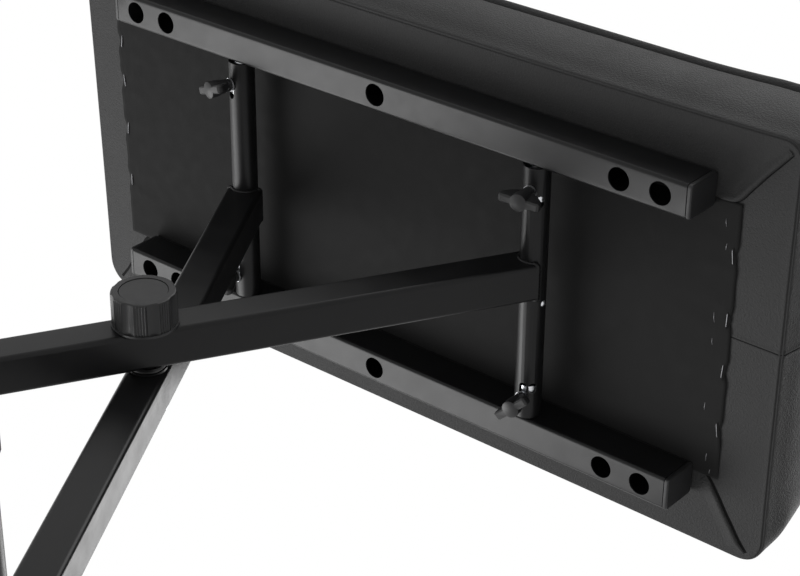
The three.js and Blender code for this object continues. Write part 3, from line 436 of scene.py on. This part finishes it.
# Seat board. Bare plywood that the foam is glued to; only the tee nuts come through it.
plywood, tree, shader, place = new_finish("plywood", (0.55, 0.38, 0.2), 0.7)
plies = add_step(tree, "ShaderNodeTexWave", {"Scale": 130.0, "Distortion": 1.5, "Detail": 2.0},
                 bands_direction="Z")
dark_ply = (0.42, 0.27, 0.13, 1)
light_ply = (0.62, 0.44, 0.25, 1)
ply_tones = add_step(tree, "ShaderNodeMix", {"A": dark_ply, "B": light_ply}, data_type="RGBA")
tree.links.new(place, plies.inputs["Vector"])
tree.links.new(plies.outputs["Fac"], ply_tones.inputs["Factor"])
tree.links.new(ply_tones.outputs["Result"], shader.inputs["Base Color"])
finished("seat_board", plywood)

# Cushion. Foam in a boxed cover of black synthetic leather: a top panel sewn to a side band all
# round, drawn down over the board's edge, turned under it and stapled, so that the band swells
# between the seam and the board, leans in towards the board and is pinched where it turns under.
SEAT_HALF_LENGTH = 311 * MM
SEAT_HALF_WIDTH = 154.5 * MM
SEAT_CORNER = 14 * MM
BACK_CORNER = 19 * MM
FRONT_GROWTH = 0.04
BACK_GROWTH = 0.44
UNDERSIDE = 524.41 * MM
LONG_CELLS = 124
SHORT_CELLS = 62
LEAST_CORNER = 3 * MM

# Inset from the seat's outline, rise above the underside and share of the draw-in, from the
# underside to the edge of the top panel
band_profile = [
    (7.0, 0.0, 1.0), (4.0, 0.0, 1.0), (2.5, -0.2, 1.0), (1.9, -0.1, 1.0), (1.6, 0.8, 1.0),
    (1.2, 0.9, 1.0), (0.5, 0.5, 0.85), (0.0, 1.6, 0.8), (-0.4, 5.0, 0.8), (-0.9, 9.0, 0.75),
    (-1.6, 13.0, 0.7), (-2.2, 17.0, 0.6), (-2.7, 20.6, 0.5), (-3.0, 24.0, 0.5), (-2.9, 28.0, 0.5),
    (-2.7, 33.0, 0.5), (-2.5, 38.0, 0.5), (-2.2, 43.5, 0.5), (-1.9, 48.5, 0.5), (-1.6, 53.0, 0.5),
    (-1.5, 56.5, 0.5), (-1.5, 58.8, 0.5), (-0.9, 60.7, 0.5), (0.6, 61.9, 0.5), (3.0, 62.4, 0.5),
    (1.4, 62.7, 0.5), (-0.1, 63.6, 0.5), (-1.2, 65.2, 0.5), (-1.9, 67.2, 0.5), (-1.8, 69.3, 0.45),
    (-0.3, 71.2, 0.4), (3.5, 72.4, 0.3),
]
CREASE_ROWS = 7
SEAM_ROW = 24
DRAW_IN = 3.0 * MM
END_SHARE = 0.3
BACK_SHARE = -0.3
PANEL_DRAW_SHARE = 0.3
CROWN_RISE = 3.2

# How far the cover is out of true, in millimetres, and where along it the standing corner starts
LEFT_OUT = 5.2
LEFT_SKEW = 4.6
BACK_FULL = 2.6
CORNER_OUT = 2.4
CORNER_START_SHARE = 0.6
CORNER_RUN_SHARE = 0.21
SEAT_DEPTH = 72
FULL_OVER = 100


def on_rounded(u, v, half_length, half_width, corner):
    """A point of a rectangle, in shares from -1 to 1, with the rectangle's corners rounded."""
    x = u * half_length
    y = v * half_width
    past_x = (abs(x) - (half_length - corner)) / corner
    past_y = (abs(y) - (half_width - corner)) / corner
    if past_x <= 0 or past_y <= 0:
        return x, y
    curved_x = past_x * math.sqrt(1 - past_y * past_y / 2)
    curved_y = past_y * math.sqrt(1 - past_x * past_x / 2)
    return (
        math.copysign(half_length - corner + curved_x * corner, x),
        math.copysign(half_width - corner + curved_y * corner, y),
    )


def rim_shares():
    """The cells' corners round the panel's rim, in shares, anticlockwise from the left front."""
    along = [2 * i / LONG_CELLS - 1 for i in range(LONG_CELLS + 1)]
    across = [2 * j / SHORT_CELLS - 1 for j in range(SHORT_CELLS + 1)]
    rim = [(u, -1.0) for u in along[:-1]]
    rim += [(1.0, v) for v in across[:-1]]
    rim += [(u, 1.0) for u in reversed(along[1:])]
    rim += [(-1.0, v) for v in reversed(across[1:])]
    return rim


def corner_radius(v, rise, inset):
    """The two back corners lean in with height and get rounder, the front ones hardly do."""
    corner, growth = (BACK_CORNER, BACK_GROWTH) if v > 0 else (SEAT_CORNER, FRONT_GROWTH)
    return max(corner + (growth * rise - inset) * MM, LEAST_CORNER)


def out_of_true(u, v, rise):
    """The cover is not pulled quite square: its left end reaches out towards the front, its back
    hangs full, and the top of its front right corner stands out."""
    left = (LEFT_OUT - LEFT_SKEW * v) * ((1 - u) / 2) ** 3
    back = BACK_FULL * ((1 + v) / 2) ** 4 * (1 - rise / FULL_OVER)
    near = min(1.0, max(0.0, (u - CORNER_START_SHARE) / CORNER_RUN_SHARE))
    front = CORNER_OUT * (rise / SEAT_DEPTH) ** 3 * near ** 2 * ((1 - v) / 2) ** 2
    return -left * MM, (back - front) * MM


def drawn_in(x, y, u, v, pull, power):
    """Pulls the middle of a side in by up to pull; the back side hangs a little full instead."""
    if abs(v) == 1:
        y -= math.copysign((pull if v < 0 else BACK_SHARE * pull) * (1 - abs(u) ** power), y)
    if abs(u) == 1:
        x -= math.copysign(END_SHARE * pull * (1 - abs(v) ** power), x)
    return x, y


rim = rim_shares()
cushion_points = []
cushion_faces = []
panel_inset = band_profile[-1][0] * MM
panel_rise = band_profile[-1][1]
under_inset = band_profile[0][0] * MM
rows = []
for inset, rise, share in band_profile:
    row = []
    half_length = SEAT_HALF_LENGTH - inset * MM
    half_width = SEAT_HALF_WIDTH - inset * MM
    for u, v in rim:
        corner = corner_radius(v, rise, inset)
        x, y = on_rounded(u, v, half_length, half_width, corner)
        x, y = drawn_in(x, y, u, v, DRAW_IN * share, 3 + rise / 18)
        slack_x, slack_y = out_of_true(u, v, rise)
        x += slack_x
        y += slack_y
        row.append(len(cushion_points))
        cushion_points.append((x, y, UNDERSIDE + rise * MM))
    rows.append(row)
for lower, upper in zip(rows, rows[1:]):
    for k in range(len(rim)):
        after = (k + 1) % len(rim)
        cushion_faces.append((lower[k], lower[after], upper[after], upper[k]))


def fill_panel(rim_row, inset, rise, pull, height, upward):
    """Fills a rim with a panel of cells and returns its inner points."""
    grid = {}
    order = {share: rim_row[k] for k, share in enumerate(rim)}
    inner = []
    half_length = SEAT_HALF_LENGTH - inset
    half_width = SEAT_HALF_WIDTH - inset
    for i in range(LONG_CELLS + 1):
        for j in range(SHORT_CELLS + 1):
            u = 2 * i / LONG_CELLS - 1
            v = 2 * j / SHORT_CELLS - 1
            if (u, v) in order:
                grid[i, j] = order[u, v]
                continue
            x, y = on_rounded(u, v, half_length, half_width, corner_radius(v, rise, inset / MM))
            slack_x, slack_y = out_of_true(u, v, rise)
            x += slack_x - END_SHARE * pull * u ** 3 * (1 - abs(v) ** 3)
            y += slack_y - (pull if v < 0 else BACK_SHARE * pull) * v ** 3 * (1 - abs(u) ** 3)
            grid[i, j] = len(cushion_points)
            inner.append(grid[i, j])
            cushion_points.append((x, y, height(u, v)))
    for i in range(LONG_CELLS):
        for j in range(SHORT_CELLS):
            cell = (grid[i, j], grid[i + 1, j], grid[i + 1, j + 1], grid[i, j + 1])
            cushion_faces.append(cell if upward else cell[::-1])
    return inner


def crown_height(u, v):
    """The top panel before the foam swells it."""
    return UNDERSIDE + (panel_rise + CROWN_RISE * (1 - abs(u) ** 5) * (1 - abs(v) ** 3)) * MM


fill_panel(rows[-1], panel_inset, panel_rise, PANEL_DRAW_SHARE * DRAW_IN, crown_height, True)
under_points = fill_panel(rows[0], under_inset, 0, DRAW_IN, lambda u, v: UNDERSIDE, False)

cushion_mesh = bpy.data.meshes.new("cushion")
cushion_mesh.from_pydata(cushion_points, [], cushion_faces)
cushion = bpy.data.objects.new("cushion", cushion_mesh)
scene.collection.objects.link(cushion)

# Swelling. The cover is blown up by its foam for a moment, held where it is stapled and sewn, and
# less and less above the crease.
SWELL_CAP = 4 * MM
SWELL_MOMENTS = 20
LOOSENING_ROWS = 5
start = np.array(cushion_points)
swollen = start.copy()
held = cushion.vertex_groups.new(name="held")
held.add(under_points, 1.0, "REPLACE")
for row in rows[:CREASE_ROWS]:
    held.add(row, 1.0, "REPLACE")
for k, row in enumerate(rows[CREASE_ROWS:CREASE_ROWS + LOOSENING_ROWS]):
    held.add(row, 0.95 - 0.15 * k, "REPLACE")
for row in rows[SEAM_ROW - 3:]:
    held.add(row, 1.0, "REPLACE")
swell = cushion.modifiers.new("swell", "CLOTH")
swell.settings.quality = 7
swell.settings.mass = 0.25
swell.settings.tension_stiffness = 22
swell.settings.compression_stiffness = 18
swell.settings.shear_stiffness = 8
swell.settings.bending_stiffness = 0.6
swell.settings.use_pressure = True
swell.settings.uniform_pressure_force = 4
swell.settings.vertex_group_mass = "held"
swell.settings.effector_weights.gravity = 0
swell.point_cache.frame_start = 1
swell.point_cache.frame_end = SWELL_MOMENTS
for moment in range(1, SWELL_MOMENTS + 1):
    scene.frame_set(moment)
shaped = cushion.evaluated_get(bpy.context.evaluated_depsgraph_get()).to_mesh()
flat = np.zeros(len(shaped.vertices) * 3)
shaped.vertices.foreach_get("co", flat)
swollen = flat.reshape(-1, 3)
cushion.modifiers.remove(swell)
scene.frame_set(1)

move = swollen - start
reach = np.linalg.norm(move, axis=1)
move *= (np.minimum(reach, SWELL_CAP) / np.maximum(reach, 1e-9))[:, None]
cushion_mesh.vertices.foreach_set("co", (start + move).ravel())
cushion_mesh.update()
for polygon in cushion_mesh.polygons:
    polygon.use_smooth = True
finer = cushion.modifiers.new("finer", "SUBSURF")
finer.levels = 1
finer.render_levels = 1

# Leather grain: small pebbles with creases between them, over a slow unevenness
leather_grain, ends_in, ends_out = new_group(
    "leather_grain",
    [("Place", DIRECTION, None), ("Scale", NUMBER, 900.0), ("Depth", NUMBER, 0.0001)],
    [("Normal", DIRECTION)],
)
bent = add_step(leather_grain, "ShaderNodeTexNoise", {"Scale": 420.0, "Detail": 2.0})
bend = add_step(leather_grain, "ShaderNodeMix", {"Factor": 0.0012}, data_type="RGBA",
                blend_type="LINEAR_LIGHT")
pebbles = add_step(leather_grain, "ShaderNodeTexVoronoi", {"Randomness": 1.0},
                   feature="SMOOTH_F1")
pores = add_step(leather_grain, "ShaderNodeTexNoise", {"Scale": 2600.0, "Detail": 2.0})
blend = add_step(leather_grain, "ShaderNodeMix", {"Factor": 0.35}, data_type="FLOAT")
raised = add_step(leather_grain, "ShaderNodeBump", {"Strength": 1.0})
leather_grain.links.new(ends_in.outputs["Place"], bent.inputs["Vector"])
leather_grain.links.new(ends_in.outputs["Place"], bend.inputs["A"])
leather_grain.links.new(bent.outputs["Color"], bend.inputs["B"])
leather_grain.links.new(bend.outputs["Result"], pebbles.inputs["Vector"])
leather_grain.links.new(ends_in.outputs["Scale"], pebbles.inputs["Scale"])
leather_grain.links.new(ends_in.outputs["Place"], pores.inputs["Vector"])
leather_grain.links.new(pebbles.outputs["Distance"], blend.inputs["A"])
leather_grain.links.new(pores.outputs["Fac"], blend.inputs["B"])
leather_grain.links.new(blend.outputs["Result"], raised.inputs["Height"])
leather_grain.links.new(ends_in.outputs["Depth"], raised.inputs["Distance"])
leather_grain.links.new(raised.outputs["Normal"], ends_out.inputs["Normal"])

leather, tree, shader, place = new_finish("black_leather", (0.03, 0.03, 0.03), 0.55)
drifting(tree, shader, place, 25, (0.028, 0.028, 0.0285), (0.036, 0.036, 0.036), 0.52, 0.62)
surface = add_step(tree, "ShaderNodeGroup", node_tree=leather_grain)
surface.inputs["Scale"].default_value = 850.0
surface.inputs["Depth"].default_value = 0.6 * MM
tree.links.new(place, surface.inputs["Place"])
tree.links.new(surface.outputs["Normal"], shader.inputs["Normal"])
shader.inputs["Specular IOR Level"].default_value = 0.1
cushion_mesh.materials.append(leather)
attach(cushion, "seat")
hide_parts("seat_cover", "foam_pad")

# Corner folds. At each corner the leather of the long side is laid over that of the end and its
# edge is folded back on itself, which leaves a rounded ridge; the dark strip at its foot is
# painted shade.
# Painted shade: a near-black finish that stands for the shade at the foot of each fold, in the end
# seam's groove and round the cover staples.
painted_shade, tree, shader, place = new_finish("leather_shadow", (0.004, 0.004, 0.004), 0.9)
drifting(tree, shader, place, 200, (0.003, 0.003, 0.003), (0.007, 0.007, 0.007), 0.85, 0.95)
shader.inputs["Specular IOR Level"].default_value = 0.1

# Distance from the ridge towards the overlapping leather, and height above the leather below, for
# the tight folds at the front (-1) and the slacker ones at the back (1), whose painted shade is
# wider
fold_sections = {
    -1: [(9.0, -0.5), (7.0, 0.05), (5.4, 0.45), (4.0, 1.2), (2.8, 2.1), (1.6, 2.6), (0.6, 2.5),
         (-0.1, 1.9), (-0.5, 1.1), (-0.6, 0.3), (-0.62, 0.12), (-1.3, 0.07), (-1.8, -0.5)],
    1: [(12.0, -0.5), (9.5, 0.05), (7.0, 0.35), (4.8, 0.8), (3.2, 1.3), (1.9, 1.7), (0.9, 1.8),
        (0.1, 1.5), (-0.45, 1.0), (-0.6, 0.3), (-0.62, 0.12), (-2.8, 0.07), (-3.3, -0.5)],
}
FOLD_GAP_FACES = 2
FOLD_MARKS = 44
FOLD_SLACK = 0.4
FLAP_WIDTH = 12 * MM
ROOM_AT_EDGE = 3.4 * MM
LOW_LIMIT = 0.12
FOLD_SMOOTHINGS = 4
FOLD_UNEVENNESS = 60
FLAT_START_SHARE = 0.35
FLAT_END_SHARE = 0.3
RISE_MARKS = 9
LEAST_SIDEWAYS = 0.2
LEAST_WIDTH_SHARE = 0.1


def lay_strip(name, stations, section, gap_faces):
    """A strip of leather laid along stations, each a place, a sideways and an outward direction,
    and a share of the section's height and width; the faces its last argument picks get painted
    shade."""
    points = []
    for place, sideways, outward, height, width in stations:
        for s, h in section:
            s = s * width if s > 0 else s
            h = h * height if h > LOW_LIMIT else h
            points.append(place + (sideways * s + outward * h) * MM)
    wide = len(section)
    faces = []
    gap = []
    for k in range(len(stations) - 1):
        for s in range(wide - 1):
            first = k * wide + s
            faces.append((first, first + 1, first + wide + 1, first + wide))
            gap.append(gap_faces(s))
    strip = new_piece(name, points, faces, leather, "seat")
    strip.data.materials.append(painted_shade)
    for polygon, is_gap in zip(strip.data.polygons, gap):
        polygon.material_index = 1 if is_gap else 0
    return strip


# The ridges' ways over the underside, from the dust cover out to the corner
fold_bends = {
    -1: [(247.0, 102.2), (256.0, 101.6), (263.5, 101.5), (268.8, 102.6), (272.6, 106.6),
         (277.5, 113.6), (284.5, 122.6), (291.6, 131.2), (297.0, 137.8), (300.8, 142.2),
         (303.0, 144.8)],
    1: [(263.0, 103.2), (266.6, 106.4), (272.6, 115.4), (279.8, 126.6), (289.2, 140.6),
        (297.0, 150.4)],
}
for end in (-1, 1):
    for side in (-1, 1):
        bends = [Vector((end * x * MM, side * y * MM, UNDERSIDE)) for x, y in fold_bends[side]]
        gone = [0.0]
        for one, two in zip(bends, bends[1:]):
            gone.append(gone[-1] + (two - one).length)
        marks = np.linspace(0, gone[-1], FOLD_MARKS)
        ways = [np.interp(marks, gone, [bend[axis] for bend in bends]) for axis in range(3)]
        way = [Vector(point) for point in zip(*ways)]
        for settle in range(FOLD_SMOOTHINGS):
            middle = [(a + 2 * b + c) / 4 for a, b, c in zip(way, way[1:], way[2:])]
            way = way[:1] + middle + way[-1:]
        last = FOLD_MARKS - 1
        stations = []
        for k, point in enumerate(way):
            along = (way[min(k + 1, last)] - way[max(k - 1, 0)]).normalized()
            sideways = Vector((-end * abs(along.y), side * abs(along.x), 0)).normalized()
            rising = FLAT_START_SHARE + k / RISE_MARKS
            falling = FLAT_END_SHARE + (last - k) / RISE_MARKS
            height = min(1.0, rising, falling)
            room = SEAT_HALF_WIDTH - ROOM_AT_EDGE - abs(point.y)
            room /= max(abs(sideways.y), LEAST_SIDEWAYS)
            width = max(LEAST_WIDTH_SHARE, min(1.0, room / FLAP_WIDTH))
            wander = FOLD_SLACK * noise.noise(point * FOLD_UNEVENNESS) * MM
            place = point + sideways * wander
            stations.append((place, sideways, Vector((0, 0, -1)), height, width))
        where = f"{'left' if end < 0 else 'right'}_{'front' if side < 0 else 'back'}"
        # The last faces of each section, at the ridge's foot, get the painted shade.
        gap_from = len(fold_sections[side]) - 1 - FOLD_GAP_FACES
        lay_strip(f"corner_fold_{where}", stations, fold_sections[side], lambda s: s >= gap_from)

# End seam. The band is joined at the middle of the right end: two turned edges side by side with
# the stitches sunk between them, from the dust cover round the board's edge up to the top seam.
seam_section = [
    (4.2, -0.3), (3.0, 0.02), (1.7, 0.26), (0.8, 0.32), (0.4, 0.13), (0.36, 0.1),
    (-0.36, 0.1), (-0.4, 0.13), (-0.8, 0.32), (-1.7, 0.26), (-3.0, 0.02), (-4.2, -0.3),
]
SEAM_Y = -7.2 * MM
PROBE_STEP = 1.5
SEAM_START = 271
SEAM_TURN = 309.3
SEAM_FOOT = 1.6
SEAM_TOP = 61.5
BELOW_SEAT = 450 * MM
PAST_SEAT = 400 * MM
upwards = Vector((0, 0, 1))
inwards = Vector((-1, 0, 0))
probes = []
for x in np.arange(SEAM_START, SEAM_TURN, PROBE_STEP):
    probes.append((Vector((x * MM, SEAM_Y, BELOW_SEAT)), upwards))
for rise in np.arange(SEAM_FOOT, SEAM_TOP, PROBE_STEP):
    probes.append((Vector((PAST_SEAT, SEAM_Y, UNDERSIDE + rise * MM)), inwards))
skin = BVHTree.FromObject(cushion, bpy.context.evaluated_depsgraph_get())
touched = [skin.ray_cast(origin, towards)[:2] for origin, towards in probes]
stations = []
for k, (place_on_skin, facing) in enumerate(touched):
    near = [normal for spot, normal in touched[max(k - 1, 0):k + 2]]
    outward = sum(near, Vector()).normalized()
    stations.append((place_on_skin, Vector((0, 1, 0)), outward, 1.0, 1.0))
# The groove's faces get the painted shade: partly the dark sunk stitches, partly shade between the
# turned edges.
lay_strip("end_seam", stations, seam_section, lambda s: s in (4, 5, 6))

# Dust cover. One sheet of black non-woven cloth, stapled over the turned leather at both ends and
# held along its sides under the rails, so that its ends pucker in towards the staples.
DUST_LEFT = -283.4 * MM
DUST_SLANT = 0.019
DUST_RIGHT = 272.4 * MM
DUST_HALF_WIDTH = 101.5 * MM
DUST_LEVEL = 523.85 * MM
DUST_THICKNESS = 0.4 * MM
DUST_LONG_CELLS = 220
DUST_SHORT_CELLS = 100
STAPLE_PULL = 1.9 * MM
STAPLE_PULL_WIDTH = 5.5
EDGE_WANDER = 0.5 * MM
END_REACH_SHARE = 0.06
CLOTH_SAG = 0.35 * MM
PUFF = 0.7 * MM
PUFF_WIDTH = 9
EDGE_UNEVENNESS = 70
SAG_UNEVENNESS = 14
CRIMP_PITCH = 900

# The staples along the left end (-1) and the right end (1)
staple_rows = {1: (-64, -18.5, 19.5, 64.4), -1: (-62.5, -30.2, 10.3, 54.8)}
staple_places = {1: 268.7, -1: -279.6}


def puckered_end(end, y):
    """How far the end of the cloth is pulled in at this place across it."""
    pull = sum(
        math.exp(-((y / MM - staple) / STAPLE_PULL_WIDTH) ** 2) for staple in staple_rows[end]
    )
    wander = noise.noise(Vector((end * 3.1, y * EDGE_UNEVENNESS, 0.4)))
    return STAPLE_PULL * pull + EDGE_WANDER * wander


dust_points = []
dust_faces = []
for i in range(DUST_LONG_CELLS + 1):
    for j in range(DUST_SHORT_CELLS + 1):
        share = i / DUST_LONG_CELLS
        y = DUST_HALF_WIDTH * (2 * j / DUST_SHORT_CELLS - 1)
        near_left = max(0.0, 1 - share / END_REACH_SHARE)
        near_right = max(0.0, 1 - (1 - share) / END_REACH_SHARE)
        left = DUST_LEFT + DUST_SLANT * y
        x = left + (DUST_RIGHT - left) * share
        x += near_left ** 2 * puckered_end(-1, y) - near_right ** 2 * puckered_end(1, y)
        spot = Vector((x * SAG_UNEVENNESS, y * SAG_UNEVENNESS, 0.7))
        sag = CLOTH_SAG * (0.5 + noise.noise(spot))
        crimp = 0.6 + 0.4 * math.sin(x * CRIMP_PITCH)
        for end, near in ((-1, near_left), (1, near_right)):
            for staple in staple_rows[end]:
                apart = abs(y / MM - staple)
                sag += near * PUFF * math.exp(-(apart / PUFF_WIDTH - 1) ** 2 * 3) * crimp
        dust_points.append((x, y, DUST_LEVEL - max(0.0, sag)))
for i in range(DUST_LONG_CELLS):
    for j in range(DUST_SHORT_CELLS):
        first = i * (DUST_SHORT_CELLS + 1) + j
        second = first + DUST_SHORT_CELLS + 1
        dust_faces.append((first, first + 1, second + 1, second))

dust_cloth, tree, shader, place = new_finish("dust_cloth", (0.012, 0.012, 0.012), 0.9)
drifting(tree, shader, place, 90, (0.009, 0.009, 0.009), (0.015, 0.015, 0.015), 0.82, 0.95)
pitted(tree, shader, place, 1600, 0.0001, 0.6)
shader.inputs["Specular IOR Level"].default_value = 0.12
dust_sheet = new_piece("dust_sheet", dust_points, dust_faces, dust_cloth, "seat")
thickness = dust_sheet.modifiers.new("thickness", "SOLIDIFY")
thickness.thickness = DUST_THICKNESS
thickness.offset = 0
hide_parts("dust_cover")

# Cover staples. Thin zinc wire staples driven through the cloth into the board, and the tips of
# the leather's own staples that show through the cloth further in.
wire_points = []
wire_faces = []


def add_wire(path, radius):
    """Adds one bent wire to the staples."""
    way = [Vector(point) * MM for point in path]
    points, faces = bar_along(way, [radius * MM] * len(path), WIRE_SIDES)
    shift = len(wire_points)
    wire_points.extend(points)
    wire_faces.extend(tuple(corner + shift for corner in face) for face in faces)


staple_wire, tree, shader, place = new_finish("staple_wire", (0.2, 0.2, 0.21), 0.42, 1.0)
drifting(tree, shader, place, 400, (0.12, 0.12, 0.125), (0.28, 0.28, 0.29), 0.34, 0.55)
CLOTH_FACE = 523.0
WIRE_RADIUS = 0.28
TIP_RADIUS = 0.2
WIRE_SIDES = 8
STAPLE_SHADE_SIDES = 14
STAPLE_SHADE_REACH = 5.6
STAPLE_SHADE_UNEVEN_SHARE = 0.25
STAPLE_SHADE_MIDDLE = CLOTH_FACE + 0.12
STAPLE_SHADE_RIM = CLOTH_FACE + 0.2
STAPLE_SKEW = 0.7
STAPLE_REACH = 5
TIP_LEAN = 0.5

# How far a patch of painted shade round a staple reaches along the seat, and how far it is
# shifted, at each end
staple_shade_sizes = {1: (1.7, 0.9), -1: (0.8, 0.7)}

# Along the staple and down into the board, from one leg over the crown to the other
staple_bends = [(-4.9, 1.6), (-4.9, 0.4), (-4.6, 0.06), (-4.2, 0.0),
                (4.2, 0.0), (4.6, 0.06), (4.9, 0.4), (4.9, 1.6)]
staple_shade_points = []
staple_shade_faces = []
for end in (-1, 1):
    for k, y in enumerate(staple_rows[end]):
        x = staple_places[end] + (DUST_SLANT * y if end < 0 else 0)
        skew = STAPLE_SKEW * math.sin(2.4 * k + end)
        wire = [
            (x + skew * a / STAPLE_REACH, y + a, CLOTH_FACE + deep) for a, deep in staple_bends
        ]
        add_wire(wire, WIRE_RADIUS)
        reach_x, shift_x = staple_shade_sizes[end]
        centre = len(staple_shade_points)
        staple_shade_points.append((x + shift_x, y, STAPLE_SHADE_MIDDLE))
        for s in range(STAPLE_SHADE_SIDES):
            turn = 2 * math.pi * s / STAPLE_SHADE_SIDES
            uneven = 1 + STAPLE_SHADE_UNEVEN_SHARE * math.sin(3 * turn + 2 * k)
            staple_shade_points.append((
                x + shift_x + reach_x * uneven * math.cos(turn) + skew * math.sin(turn),
                y + STAPLE_SHADE_REACH * uneven * math.sin(turn),
                STAPLE_SHADE_RIM,
            ))
            staple_shade_faces.append((centre, centre + 1 + (s + 1) % STAPLE_SHADE_SIDES, centre + 1 + s))
TIP_TOP = CLOTH_FACE + 0.1
TIP_FOOT = CLOTH_FACE + 0.5
leather_staples = ((261.9, -86.0, 5.5), (263.5, -69.5, 4.8), (259.2, -17.0, 7.4),
                   (259.3, 0.6, 4.6), (258.0, 50.2, 5.9), (262.5, 87.8, 5.7), (266.0, 97.8, 3.2))
for x, y, length in leather_staples:
    lean = TIP_LEAN * math.sin(y)
    add_wire([(x - lean, y - length / 2, TIP_FOOT), (x, y, TIP_TOP),
              (x + lean, y + length / 2, TIP_FOOT)], TIP_RADIUS)
new_piece("cover_staples", wire_points, wire_faces, staple_wire, "seat")
# Flat near-black patches lying on the cloth round each cover staple: painted shade where the cloth
# puckers in.
staple_shade_points = [Vector(point) * MM for point in staple_shade_points]
new_piece("staple_dimples", staple_shade_points, staple_shade_faces, painted_shade, "seat")

# Studio. A pale floor under the feet and soft light from large panels. The floor shows only from
# above, because the picture is taken from below its level.
FLOOR_REACH = 7.0
AMBIENT = 0.16
floor_mesh = bpy.data.meshes.new("floor")
floor_mesh.from_pydata(
    [(-FLOOR_REACH, -FLOOR_REACH, 0), (FLOOR_REACH, -FLOOR_REACH, 0),
     (FLOOR_REACH, FLOOR_REACH, 0), (-FLOOR_REACH, FLOOR_REACH, 0)],
    [], [(0, 1, 2, 3)],
)
floor = bpy.data.objects.new("floor", floor_mesh)
scene.collection.objects.link(floor)
floor_paint, tree, shader, place = new_finish("floor_paint", (0.78, 0.78, 0.78), 0.9)
drifting(tree, shader, place, 3, (0.76, 0.76, 0.76), (0.8, 0.8, 0.8), 0.85, 0.95)
see_through = tree.nodes.new("ShaderNodeBsdfTransparent")
one_sided = tree.nodes.new("ShaderNodeMixShader")
side = tree.nodes.new("ShaderNodeNewGeometry")
path = tree.nodes.new("ShaderNodeLightPath")
unseen = add_step(tree, "ShaderNodeMath", operation="MAXIMUM")
unmirrored = add_step(tree, "ShaderNodeMath", operation="MAXIMUM")
tree.links.new(side.outputs["Backfacing"], unseen.inputs[0])
tree.links.new(path.outputs["Is Shadow Ray"], unseen.inputs[1])
tree.links.new(unseen.outputs["Value"], unmirrored.inputs[0])
tree.links.new(path.outputs["Is Glossy Ray"], unmirrored.inputs[1])
tree.links.new(unmirrored.outputs["Value"], one_sided.inputs["Fac"])
tree.links.new(shader.outputs["BSDF"], one_sided.inputs[1])
tree.links.new(see_through.outputs["BSDF"], one_sided.inputs[2])
tree.links.new(one_sided.outputs["Shader"], tree.nodes["Material Output"].inputs["Surface"])
floor_mesh.materials.append(floor_paint)

studio = bpy.data.worlds.new("studio")
studio.use_nodes = True
tree = studio.node_tree
ambient = tree.nodes["Background"]
ambient.inputs["Color"].default_value = (1, 1, 1, 1)
ambient.inputs["Strength"].default_value = AMBIENT
backdrop = add_step(tree, "ShaderNodeBackground", {"Color": (1, 1, 1, 1), "Strength": 1.0})
path = tree.nodes.new("ShaderNodeLightPath")
seen = add_step(tree, "ShaderNodeMath", operation="MAXIMUM")
mirrored = add_step(tree, "ShaderNodeMath", operation="MAXIMUM")
chosen = tree.nodes.new("ShaderNodeMixShader")
tree.links.new(path.outputs["Is Camera Ray"], seen.inputs[0])
tree.links.new(path.outputs["Is Glossy Ray"], seen.inputs[1])
tree.links.new(seen.outputs["Value"], mirrored.inputs[0])
tree.links.new(path.outputs["Is Transmission Ray"], mirrored.inputs[1])
tree.links.new(mirrored.outputs["Value"], chosen.inputs["Fac"])
tree.links.new(ambient.outputs["Background"], chosen.inputs[1])
tree.links.new(backdrop.outputs["Background"], chosen.inputs[2])
tree.links.new(chosen.outputs["Shader"], tree.nodes["World Output"].inputs["Surface"])
scene.world = studio
scene.view_settings.view_transform = "Standard"

# Each panel's direction from the middle of the bench, its distance and size in metres, its watts
bench_middle = Vector((0, 0, 0.4))
panels = (
    ("front_panel", (0.0, -0.6, 0.8), 2.4, 1.8, 30),
    ("side_panel", (-0.6, 0.46, -0.66), 1.35, 1.0, 23),
    ("top_panel", (0.1, 0.35, 1.0), 2.6, 2.0, 46),
)
for name, towards, distance, size, power in panels:
    lamp_data = bpy.data.lights.new(name, "AREA")
    lamp_data.shape = "SQUARE"
    lamp_data.size = size
    lamp_data.energy = power
    lamp = bpy.data.objects.new(name, lamp_data)
    towards = Vector(towards).normalized()
    lamp.location = bench_middle + towards * distance
    lamp.rotation_euler = towards.to_track_quat("Z", "Y").to_euler()
    scene.collection.objects.link(lamp)
